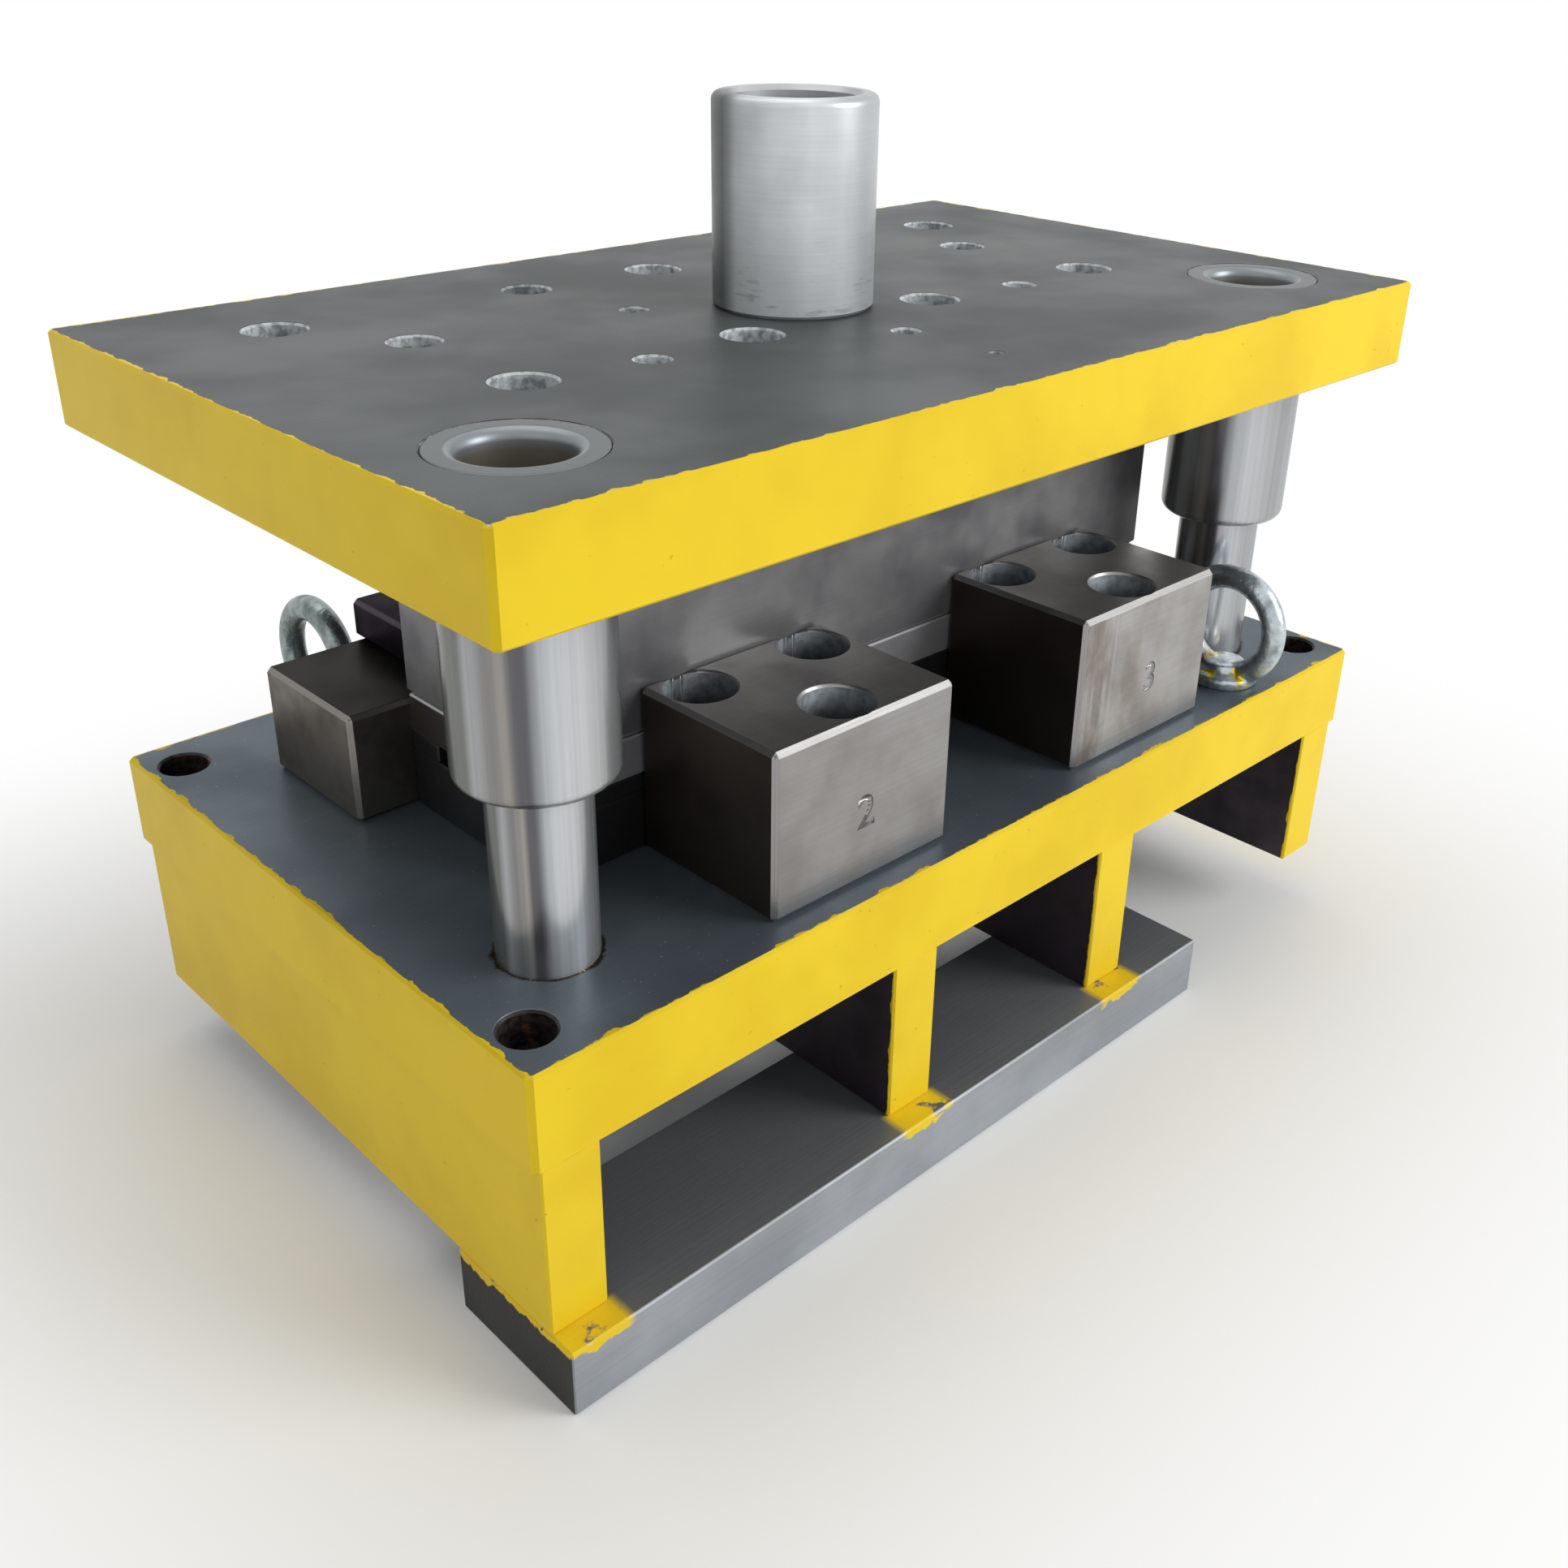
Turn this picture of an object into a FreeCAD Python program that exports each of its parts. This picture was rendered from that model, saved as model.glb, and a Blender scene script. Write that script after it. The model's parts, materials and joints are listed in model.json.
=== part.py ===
import FreeCAD, Part
import math
import os

# Progressive stamping die, closed. Millimetres. X runs along the strip, Y from front to rear, Z up.
# The origin is on the floor, under the middle of the die set.

V = FreeCAD.Vector

# Die set
shoe_length = 375.0
shoe_depth = 220.0
lower_shoe_thickness = 30.0
upper_shoe_thickness = 28.0
shoe_corner_chamfer = 1.6
shoe_edge_break = 0.8

# Risers and the bars that they stand on
riser_height = 55.0
riser_thickness = 18.5
riser_end_inset = 2.25
riser_face_inset = 1.0
inner_riser_end_inset = 138.0
riser_screw_inset = 16.5
inner_riser_screw_inset = 22.0
bar_thickness = 22.0
bar_width = 52.0
bar_overhang = 7.5
bar_tail = 35.0
bar_screw_inset = 16.0

# Guide pillars and bushes
pillar_diameter = 28.0
pillar_end_inset = 35.7
pillar_tool_gap = 24.0
pillar_top_gap = 14.0
pillar_nose = 2.0
pillar_center_hole = 8.0
bush_diameter = 43.0
bush_drop = 56.0
bush_round = 2.5
bush_mouth_chamfer = 1.4
bush_rim_chamfer = 1.0
bush_seat_chamfer = 0.6
oil_groove_width = 3.0
oil_groove_depth = 1.0
oil_groove_pitch = 16.0
oil_groove_count = 3
guide_clearance = 0.03
press_gap = 0.01

# Shank
shank_diameter = 50.0
shank_height = 62.0
shank_bore = 38.0
shank_bore_chamfer = 1.5
shank_round = 2.5
shank_floor = 8.0
shank_spigot_diameter = 36.0
shank_spigot_end_gap = 2.0
shank_groove = 1.0

# Tooling stack
tool_length = 269.0
tool_depth = 67.0
tool_offset = -11.5
die_plate_thickness = 19.0
rail_height = 5.5
rail_width = 14.0
stripper_thickness = 12.7
punch_block_height = 47.8
backing_thickness = 24.0
backing_end_inset = 37.5
backing_front_reach = 15.0
backing_rear_inset = 30.0
backing_bush_relief = 2.0
plate_edge_break = 0.6
block_bottom_chamfer = 1.5

# Strip layout
station_pitch = 32.0
strip_thickness = 1.5
blank_length = 24.0
blank_width = 25.0
blank_corner = 3.0
hole_diameter = 5.0
hole_offset = 8.5
slot_width = 3.0
slot_length = 9.0
slot_corner = 1.35
slot_offset = 8.0
pilot_diameter = 3.5
pilot_nose = 2.0
pilot_nose_end = 1.2
pilot_lead = 3.0
dimple_radius = 6.0
dimple_depth = 2.2
emboss_button_diameter = 16.0
countersink_diameter = 9.0

# Punches and their openings
punch_entry = 2.0
small_body_diameter = 8.0
slot_body_diameter = 11.0
emboss_body_diameter = 10.0
punch_head_height = 4.0
punch_head_flange = 2.0
punch_step = 6.0
punch_gap = 0.05
die_clearance = 0.06
die_land = 6.0
die_relief = 0.8
stripper_gap = 0.3
slug_gap = 1.5

# Stock lifters
lifter_diameter = 8.0
lifter_head_diameter = 11.0
lifter_head_height = 4.0
lifter_rise = 3.0
lifter_rail_gap = 0.5
lifter_clearance = 0.05
lifter_pocket_gap = 0.5
lifter_pocket_depth = 22.0
spring_side_gap = 0.6
spring_wire_width = 1.3
spring_wire_height = 1.5
spring_turns = 4

# Heel blocks and the rear guide plate
heel_gap = 0.1
front_heel_length = 70.0
front_heel_height = 52.0
front_heel_end_inset = 122.0
front_heel_face_inset = 8.9
rear_heel_length = 70.0
rear_heel_height = 35.0
rear_heel_overhang = 20.2
heel_chamfer = 1.5
heel_screw_spread = 44.0
heel_screw_rear_inset = 11.0
heel_screw_front_inset = 12.5
heel_counterbore = 28.0
guide_plate_length = 244.0
guide_plate_rear_reach = 2.5
guide_plate_thickness = 13.0
guide_plate_screw_inset = 19.0
guide_plate_screw_spread = 24.0
stop_post_diameter = 18.0

# Screw places on the upper shoe
rear_row_inset = 41.2
rear_row_end_inset = 48.8
rear_row_inner_x = 51.8
stop_post_x = 116.0
stop_post_y = 31.4
block_row_y = -23.3
block_row_end_inset = 16.9
block_row_inner_x = 38.0
block_dowel_x = 78.0
block_dowel_y = -27.0
plate_dowel_x = 43.7
plate_dowel_y = 24.2
front_dowel_y = -48.4
small_hole_y = -82.9
small_hole_diameter = 4.5
small_hole_depth = 10.0

# Fasteners
large_screw = 12.0
medium_screw = 10.0
light_screw = 8.0
small_screw = 6.0
block_dowel = 10.0
plate_dowel = 8.0
dowel_sink = 6.0
dowel_depth = 14.0
head_radius_ratio = 0.75
socket_width_ratio = 0.8
socket_depth_ratio = 0.5
head_side_gap = 1.5
head_sink = 3.0
deep_head_sink = 9.0
hole_mouth_chamfer = 0.8
clearance_gap = 0.5
thread_gap = 0.1
thread_reach = 16.0
hole_end_gap = 3.0
stack_screw_end_inset = 12.5
stack_screw_inner_x = 44.0
stack_dowel_x = 84.0

# Eye bolts
eye_outer_diameter = 44.4
eye_hole_diameter = 27.4
eye_height = 20.6
eye_collar_diameter = 25.0
eye_collar_height = 6.5
eye_neck_diameter = 15.0
eye_thread = 10.0
eye_thread_length = 20.0
right_eye_side_gap = 21.8
right_eye_front_gap = 23.0
left_eye_end_inset = 62.5
left_eye_rear_inset = 15.0
eye_heel_gap = 0.7

# Heights that follow from the thicknesses
shoe_bottom = bar_thickness + riser_height
deck = shoe_bottom + lower_shoe_thickness
die_top = deck + die_plate_thickness
rail_top = die_top + rail_height
stripper_top = rail_top + stripper_thickness
block_top = stripper_top + punch_block_height
upper_bottom = block_top + backing_thickness
upper_top = upper_bottom + upper_shoe_thickness
guide_plate_bottom = deck + rear_heel_height
guide_plate_top = guide_plate_bottom + guide_plate_thickness
bush_bottom = upper_bottom - bush_drop
punch_tip = die_top - punch_entry
step_z = stripper_top + punch_step

# Places that follow from the sizes
front_face = -shoe_depth / 2
rear_face = shoe_depth / 2
tool_front = tool_offset - tool_depth / 2
tool_rear = tool_offset + tool_depth / 2
pillar_x = shoe_length / 2 - pillar_end_inset
pillar_y = tool_front - pillar_tool_gap
outer_riser_x = shoe_length / 2 - riser_end_inset - riser_thickness / 2
inner_riser_x = shoe_length / 2 - inner_riser_end_inset
riser_screw_y = shoe_depth / 2 - riser_screw_inset
inner_riser_screw_y = shoe_depth / 2 - inner_riser_screw_inset
bar_front = front_face - bar_overhang
bar_end = inner_riser_x + riser_thickness / 2 + bar_tail
left_eye_x = -shoe_length / 2 + left_eye_end_inset
left_eye_y = rear_face - left_eye_rear_inset
right_eye_x = pillar_x - right_eye_side_gap
right_eye_y = pillar_y - right_eye_front_gap
front_heel_x = shoe_length / 2 - front_heel_end_inset
front_heel_front = front_face + front_heel_face_inset
front_heel_rear = tool_front - heel_gap
rear_heel_front = tool_rear + heel_gap
rear_heel_rear = left_eye_y - eye_outer_diameter / 2 - eye_heel_gap
rear_heel_outer = tool_length / 2 + rear_heel_overhang
backing_x = shoe_length / 2 - backing_end_inset
rear_row_y = rear_face - rear_row_inset
rear_row_outer_x = shoe_length / 2 - rear_row_end_inset
block_row_outer_x = tool_length / 2 - block_row_end_inset
stack_screw_outer_x = tool_length / 2 - stack_screw_end_inset
rail_center = tool_depth / 2 - rail_width / 2
tunnel_half_width = tool_depth / 2 - rail_width
first_station_x = -3 * station_pitch
blank_x = 3 * station_pitch


# Plain solids
def box(x0, x1, y0, y1, z0, z1):
    return Part.makeBox(x1 - x0, y1 - y0, z1 - z0, V(x0, y0, z0))


def cylinder(x, y, z0, z1, radius):
    return Part.makeCylinder(radius, z1 - z0, V(x, y, z0))


def fused(shapes):
    return shapes[0].multiFuse(shapes[1:]).removeSplitter()


def group(shapes):
    return Part.makeCompound(shapes)


def is_upright(edge):
    return edge.BoundBox.ZLength > 0.5 * edge.Length


def broken_block(x0, x1, y0, y1, z0, z1, size):
    block = box(x0, x1, y0, y1, z0, z1)
    return block.makeChamfer(size, block.Edges)


def rounded_block(x, y, length, depth, corner, z0, z1):
    block = box(x - length / 2, x + length / 2, y - depth / 2, y + depth / 2, z0, z1)
    return block.makeFillet(corner, [edge for edge in block.Edges if is_upright(edge)])


def save(name, shape):
    shape.exportStep("parts/" + name + ".step")


# Holes and fasteners
def head_radius(size):
    return head_radius_ratio * size


def counterbore(x, y, top, seat, bottom, size):
    radius = head_radius(size) + head_side_gap
    mouth = Part.makeCone(radius, radius + hole_mouth_chamfer, hole_mouth_chamfer,
                          V(x, y, top - hole_mouth_chamfer))
    return fused([cylinder(x, y, seat, top, radius), mouth,
                  cylinder(x, y, bottom, seat, size / 2 + clearance_gap)])


def clearance_hole(x, y, z0, z1, size):
    return cylinder(x, y, z0, z1, size / 2 + clearance_gap)


def tapped_hole(x, y, z0, z1, size):
    return cylinder(x, y, z0, z1, size / 2 + thread_gap)


def socket_screw(x, y, seat, tip, size):
    up = 1 if seat > tip else -1
    head_end = seat + up * size
    socket_end = head_end - up * size * socket_depth_ratio
    body = cylinder(x, y, min(seat, head_end), max(seat, head_end), head_radius(size))
    stem = cylinder(x, y, min(seat, tip), max(seat, tip), size / 2)
    socket_radius = socket_width_ratio * size / math.sqrt(3)
    corners = [V(x + socket_radius * math.cos(math.radians(60 * i)),
                 y + socket_radius * math.sin(math.radians(60 * i)), head_end) for i in range(7)]
    socket = Part.Face(Part.makePolygon(corners)).extrude(V(0, 0, socket_end - head_end))
    return body.fuse(stem).cut(socket).removeSplitter()


def dowel_hole(x, y, z0, z1, size):
    return cylinder(x, y, z0, z1, size / 2 + press_gap)


def dowel(x, y, z0, z1, size):
    pin = cylinder(x, y, z0, z1, size / 2)
    return pin.makeChamfer(plate_edge_break, [edge for edge in pin.Edges if not is_upright(edge)])


# Places of what repeats
def both_sides(x, y):
    return [(-x, y), (x, y)]


def riser_places():
    return [-outer_riser_x, -inner_riser_x, inner_riser_x, outer_riser_x]


def riser_screw_places():
    outer = [(x, side * riser_screw_y) for x in (-outer_riser_x, outer_riser_x) for side in (-1, 1)]
    inner = [(x, side * inner_riser_screw_y) for x in (-inner_riser_x, inner_riser_x) for side in (-1, 1)]
    return outer + inner


def bar_screw_places():
    front_y = bar_front + bar_width - bar_screw_inset
    front = [(x, front_y) for x in riser_places()[:3]]
    rear = [(-x, -y) for x, y in front]
    return front + rear


def pillar_places():
    return both_sides(pillar_x, pillar_y)


def station_x(number):
    return first_station_x + number * station_pitch


def across_strip(number, offset):
    return [(station_x(number), tool_offset + side * offset) for side in (-1, 1)]


def pierce_places():
    return across_strip(0, hole_offset)


def web_place(number):
    return station_x(number) + station_pitch / 2, tool_offset


def pilot_places():
    return [web_place(number) for number in (0, 1, 4)]


def countersink_places():
    return across_strip(1, hole_offset)


def emboss_place():
    return station_x(2), tool_offset


def slot_places():
    return [(station_x(3) + side * slot_offset, tool_offset) for side in (-1, 1)]


def lifter_places():
    offset = tunnel_half_width - lifter_rail_gap - lifter_diameter / 2
    return [(x, y + side * offset) for x, y in (web_place(0), web_place(4)) for side in (-1, 1)]


def stack_screw_places():
    return [(side * x, tool_offset + row * rail_center)
            for x in (stack_screw_outer_x, stack_screw_inner_x) for side in (-1, 1) for row in (-1, 1)]


def stack_dowel_places():
    return [(side * stack_dowel_x, tool_offset + row * rail_center) for side in (-1, 1) for row in (-1, 1)]


def front_heel_places():
    return [-front_heel_x, front_heel_x]


def front_heel_screw_places(x):
    rear_y = front_heel_rear - heel_screw_rear_inset
    front_y = front_heel_front + heel_screw_front_inset
    return [(x - heel_screw_spread / 2, rear_y), (x + heel_screw_spread / 2, rear_y), (x, front_y)]


def guide_plate_screw_places():
    x = guide_plate_length / 2 - guide_plate_screw_inset
    middle_y = (rear_heel_front + rear_heel_rear) / 2
    return [(side * x, middle_y + row * guide_plate_screw_spread / 2) for side in (-1, 1) for row in (-1, 1)]


def block_screw_places():
    return both_sides(block_row_outer_x, block_row_y) + both_sides(block_row_inner_x, block_row_y)


def rear_screw_places():
    return both_sides(rear_row_outer_x, rear_row_y) + [(0.0, rear_row_y)]


def plate_screw_places():
    return both_sides(rear_row_inner_x, rear_row_y)


def stop_post_places():
    return both_sides(stop_post_x, stop_post_y)


def plate_dowel_places():
    return both_sides(plate_dowel_x, plate_dowel_y) + [(0.0, front_dowel_y)]


# Die set
def shoe(z0, z1):
    plate = box(-shoe_length / 2, shoe_length / 2, front_face, rear_face, z0, z1)
    plate = plate.makeChamfer(shoe_corner_chamfer, [edge for edge in plate.Edges if is_upright(edge)])
    return plate.makeChamfer(shoe_edge_break, [edge for edge in plate.Edges if not is_upright(edge)])


def riser_seat():
    return deck - light_screw - deep_head_sink


def lower_shoe():
    tools = [counterbore(x, y, deck, riser_seat(), shoe_bottom, light_screw) for x, y in riser_screw_places()]
    tools += [cylinder(x, y, shoe_bottom, deck, pillar_diameter / 2 + press_gap) for x, y in pillar_places()]
    depth = thread_reach + hole_end_gap
    for block_x in front_heel_places():
        tools += [tapped_hole(x, y, deck - depth, deck, large_screw)
                  for x, y in front_heel_screw_places(block_x)]
    tools += [tapped_hole(x, y, deck - depth, deck, light_screw) for x, y in guide_plate_screw_places()]
    tools += [tapped_hole(x, y, deck - depth, deck, small_screw) for x, y in stack_screw_places()]
    tools += [dowel_hole(x, y, deck - dowel_depth, deck, plate_dowel) for x, y in stack_dowel_places()]
    eye_depth = eye_thread_length + hole_end_gap
    tools += [tapped_hole(x, y, deck - eye_depth, deck, eye_thread) for x, y in eye_places()]
    pocket_radius = lifter_head_diameter / 2 + lifter_pocket_gap
    tools += [cylinder(x, y, deck - lifter_pocket_depth, deck, pocket_radius) for x, y in lifter_places()]
    tools += slug_holes()
    return shoe(shoe_bottom, deck).cut(tools)


def slug_holes():
    gap = die_relief + slug_gap
    holes = [cylinder(x, y, shoe_bottom, deck, hole_diameter / 2 + gap) for x, y in pierce_places()]
    x, y = web_place(-1)
    holes.append(cylinder(x, y, shoe_bottom, deck, pilot_diameter / 2 + gap))
    holes += [slot_shape(x, y, shoe_bottom, deck, gap) for x, y in slot_places()]
    holes.append(blank_shape(shoe_bottom, deck, gap))
    return holes


def riser(x):
    block = broken_block(x - riser_thickness / 2, x + riser_thickness / 2, front_face + riser_face_inset,
                         rear_face - riser_face_inset, bar_thickness, shoe_bottom, plate_edge_break)
    depth = thread_reach + hole_end_gap
    tools = [tapped_hole(sx, sy, shoe_bottom - depth, shoe_bottom, light_screw)
             for sx, sy in riser_screw_places() if abs(sx - x) < riser_thickness / 2]
    tools += [tapped_hole(sx, sy, bar_thickness, bar_thickness + depth, light_screw)
              for sx, sy in bar_screw_places() if abs(sx - x) < riser_thickness / 2]
    return block.cut(tools)


def riser_screws():
    tip = shoe_bottom - thread_reach
    return group([socket_screw(x, y, riser_seat(), tip, light_screw) for x, y in riser_screw_places()])


def bar_seat():
    return light_screw + head_sink


def support_bar(side):
    x0 = -outer_riser_x - riser_thickness / 2
    bar = broken_block(x0, bar_end, bar_front, bar_front + bar_width, 0, bar_thickness, plate_edge_break)
    places = bar_screw_places()[:3]
    radius = head_radius(light_screw) + head_side_gap
    tools = [cylinder(x, y, 0, bar_seat(), radius) for x, y in places]
    tools += [clearance_hole(x, y, bar_seat(), bar_thickness, light_screw) for x, y in places]
    bar = bar.cut(tools)
    if side > 0:
        bar = bar.rotated(V(0, 0, 0), V(0, 0, 1), 180)
    return bar


def bar_screws():
    tip = bar_thickness + thread_reach
    return group([socket_screw(x, y, bar_seat(), tip, light_screw) for x, y in bar_screw_places()])


def guide_pillar(x, y):
    top = upper_top - pillar_top_gap
    pillar = cylinder(x, y, shoe_bottom, top, pillar_diameter / 2)
    rim = [edge for edge in pillar.Edges if edge.BoundBox.ZMin > top - press_gap]
    pillar = pillar.makeFillet(pillar_nose, rim)
    depth = pillar_center_hole / 2
    drill = Part.makeCone(0, depth, depth, V(x, y, top - depth))
    return pillar.cut(drill)


def guide_bush(x, y):
    outside = cylinder(x, y, bush_bottom, upper_top, bush_diameter / 2)
    lower_rim = [edge for edge in outside.Edges if edge.BoundBox.ZMax < bush_bottom + press_gap]
    outside = outside.makeFillet(bush_round, lower_rim)
    upper_rim = [edge for edge in outside.Edges if edge.BoundBox.ZMin > upper_top - press_gap]
    outside = outside.makeChamfer(bush_rim_chamfer, upper_rim)
    bore = pillar_diameter / 2 + guide_clearance
    mouth = Part.makeCone(bore, bore + bush_mouth_chamfer, bush_mouth_chamfer,
                          V(x, y, upper_top - bush_mouth_chamfer))
    lead = Part.makeCone(bore + bush_mouth_chamfer, bore, bush_mouth_chamfer, V(x, y, bush_bottom))
    grooves = []
    for i in range(oil_groove_count):
        z = bush_bottom + oil_groove_pitch * (i + 0.5)
        grooves.append(cylinder(x, y, z, z + oil_groove_width, bore + oil_groove_depth))
    return outside.cut([cylinder(x, y, bush_bottom, upper_top, bore), mouth, lead] + grooves)


def upper_seat(size):
    return upper_top - size - deep_head_sink


def upper_shoe():
    tools = [bush_seat(x, y) for x, y in pillar_places()]
    for x, y in block_screw_places() + rear_screw_places():
        tools.append(counterbore(x, y, upper_top, upper_seat(medium_screw), upper_bottom, medium_screw))
    for x, y in plate_screw_places() + stop_post_places():
        tools.append(counterbore(x, y, upper_top, upper_seat(light_screw), upper_bottom, light_screw))
    tools += [mouthed_dowel_hole(x, y, block_dowel) for x, y in both_sides(block_dowel_x, block_dowel_y)]
    tools += [mouthed_dowel_hole(x, y, plate_dowel) for x, y in plate_dowel_places()]
    tools.append(cylinder(0, small_hole_y, upper_top - small_hole_depth, upper_top, small_hole_diameter / 2))
    tools.append(cylinder(0, 0, upper_bottom, upper_top, shank_spigot_diameter / 2 + thread_gap))
    return shoe(upper_bottom, upper_top).cut(tools)


def bush_seat(x, y):
    radius = bush_diameter / 2 + press_gap
    mouth = Part.makeCone(radius, radius + bush_seat_chamfer, bush_seat_chamfer,
                          V(x, y, upper_top - bush_seat_chamfer))
    return cylinder(x, y, upper_bottom, upper_top, radius).fuse(mouth)


def mouthed_dowel_hole(x, y, size):
    radius = size / 2 + press_gap
    mouth = Part.makeCone(radius, radius + hole_mouth_chamfer, hole_mouth_chamfer,
                          V(x, y, upper_top - hole_mouth_chamfer))
    return dowel_hole(x, y, upper_bottom, upper_top, size).fuse(mouth)


def shank():
    top = upper_top + shank_height
    body = cylinder(0, 0, upper_top, top, shank_diameter / 2)
    upper_rim = [edge for edge in body.Edges if edge.BoundBox.ZMin > top - press_gap]
    body = body.makeFillet(shank_round, upper_rim)
    lower_rim = [edge for edge in body.Edges if edge.BoundBox.ZMax < upper_top + press_gap]
    body = body.makeChamfer(shank_groove, lower_rim)
    bore = cylinder(0, 0, upper_top + shank_floor, top, shank_bore / 2)
    mouth = Part.makeCone(shank_bore / 2, shank_bore / 2 + shank_bore_chamfer, shank_bore_chamfer,
                          V(0, 0, top - shank_bore_chamfer))
    spigot = cylinder(0, 0, upper_bottom + shank_spigot_end_gap, upper_top, shank_spigot_diameter / 2)
    return body.cut([bore, mouth]).fuse(spigot).removeSplitter()


# Punch side
def backing_plate():
    plate = broken_block(-backing_x, backing_x, tool_front - backing_front_reach,
                         rear_face - backing_rear_inset, block_top, upper_bottom, plate_edge_break)
    relief = bush_diameter / 2 + backing_bush_relief
    tools = [cylinder(x, y, block_top, upper_bottom, relief) for x, y in pillar_places()]
    tools += [clearance_hole(x, y, block_top, upper_bottom, medium_screw) for x, y in block_screw_places()]
    tools += [clearance_hole(x, y, block_top, upper_bottom, light_screw) for x, y in stop_post_places()]
    tools += [tapped_hole(x, y, block_top, upper_bottom, medium_screw) for x, y in rear_screw_places()]
    tools += [tapped_hole(x, y, block_top, upper_bottom, light_screw) for x, y in plate_screw_places()]
    tools += [dowel_hole(x, y, block_top, upper_bottom, block_dowel)
              for x, y in both_sides(block_dowel_x, block_dowel_y)]
    tools += [dowel_hole(x, y, block_top, upper_bottom, plate_dowel) for x, y in plate_dowel_places()]
    tools.append(counterbore(blank_x, tool_offset, upper_bottom, blank_screw_seat(), block_top, light_screw))
    return plate.cut(tools)


def blank_screw_seat():
    return upper_bottom - light_screw - head_sink


def punch_seat(x, y, body_diameter, tip_tool):
    radius = body_diameter / 2 + punch_gap
    flange = radius + punch_head_flange
    return fused([cylinder(x, y, block_top - punch_head_height, block_top, flange),
                  cylinder(x, y, step_z, block_top, radius), tip_tool])


def punch(x, y, body_diameter, tip):
    radius = body_diameter / 2
    return fused([cylinder(x, y, block_top - punch_head_height, block_top, radius + punch_head_flange),
                  cylinder(x, y, step_z, block_top, radius), tip])


def round_tip(x, y, diameter, tip_z, gap):
    return cylinder(x, y, tip_z, step_z, diameter / 2 + gap)


def slot_shape(x, y, z0, z1, gap):
    return rounded_block(x, y, slot_width + 2 * gap, slot_length + 2 * gap, slot_corner, z0, z1)


def blank_shape(z0, z1, gap):
    return rounded_block(blank_x, tool_offset, blank_length + 2 * gap, blank_width + 2 * gap,
                         blank_corner, z0, z1)


def punch_block():
    block = box(-tool_length / 2, tool_length / 2, tool_front, tool_rear, stripper_top, block_top)
    bottom_rim = [edge for edge in block.Edges if edge.BoundBox.ZMax < stripper_top + press_gap]
    block = block.makeChamfer(block_bottom_chamfer, bottom_rim)
    tools = [punch_seat(x, y, small_body_diameter, round_tip(x, y, hole_diameter, stripper_top, punch_gap))
             for x, y in pierce_places()]
    tools += [punch_seat(x, y, small_body_diameter, round_tip(x, y, pilot_diameter, stripper_top, punch_gap))
              for x, y in [web_place(-1)] + pilot_places()]
    tools += [punch_seat(x, y, countersink_diameter,
                         round_tip(x, y, countersink_diameter, stripper_top, punch_gap))
              for x, y in countersink_places()]
    tools += [punch_seat(x, y, slot_body_diameter, slot_shape(x, y, stripper_top, step_z, punch_gap))
              for x, y in slot_places()]
    x, y = emboss_place()
    emboss_tip = round_tip(x, y, emboss_body_diameter, stripper_top, punch_gap)
    tools.append(punch_seat(x, y, emboss_body_diameter, emboss_tip))
    tools.append(blank_shape(stripper_top, block_top, punch_gap))
    depth = thread_reach + hole_end_gap
    tools += [tapped_hole(x, y, block_top - depth, block_top, medium_screw) for x, y in block_screw_places()]
    tools += [dowel_hole(x, y, block_top - dowel_depth, block_top, block_dowel)
              for x, y in both_sides(block_dowel_x, block_dowel_y)]
    return block.cut(tools)


def piercing_punches():
    return group([punch(x, y, small_body_diameter, round_tip(x, y, hole_diameter, punch_tip, 0))
                  for x, y in pierce_places()])


def pilot_hole_punch():
    x, y = web_place(-1)
    return punch(x, y, small_body_diameter, round_tip(x, y, pilot_diameter, punch_tip, 0))


def pilots():
    pins = []
    for x, y in pilot_places():
        nose_top = punch_tip - pilot_lead + pilot_nose
        nose = Part.makeCone(pilot_nose_end / 2, pilot_diameter / 2, pilot_nose,
                             V(x, y, nose_top - pilot_nose))
        tip = fused([round_tip(x, y, pilot_diameter, nose_top, 0), nose])
        pins.append(punch(x, y, small_body_diameter, tip))
    return group(pins)


def countersink_punches():
    punches = []
    small = hole_diameter / 2 - die_clearance
    large = countersink_diameter / 2
    cone_height = large - small
    for x, y in countersink_places():
        cone = Part.makeCone(small, large, cone_height, V(x, y, die_top))
        stem = cylinder(x, y, die_top + cone_height, step_z, large)
        nose = cylinder(x, y, punch_tip, die_top, small)
        punches.append(punch(x, y, countersink_diameter, fused([nose, cone, stem])))
    return group(punches)


def dimple_center_z():
    return die_top - dimple_depth + dimple_radius


def emboss_punch():
    x, y = emboss_place()
    nose_radius = dimple_radius - strip_thickness
    stem = cylinder(x, y, dimple_center_z(), step_z, emboss_body_diameter / 2)
    nose = Part.makeSphere(nose_radius, V(x, y, dimple_center_z()))
    return punch(x, y, emboss_body_diameter, fused([stem, nose]))


def slot_punches():
    return group([punch(x, y, slot_body_diameter, slot_shape(x, y, punch_tip, step_z, 0))
                  for x, y in slot_places()])


def blanking_punch():
    body = blank_shape(punch_tip, block_top, 0)
    depth = thread_reach + hole_end_gap
    return body.cut(tapped_hole(blank_x, tool_offset, block_top - depth, block_top, light_screw))


def blanking_punch_screw():
    return socket_screw(blank_x, tool_offset, blank_screw_seat(), block_top - thread_reach, light_screw)


def block_screws():
    tip = block_top - thread_reach
    return group([socket_screw(x, y, upper_seat(medium_screw), tip, medium_screw)
                  for x, y in block_screw_places()])


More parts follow.
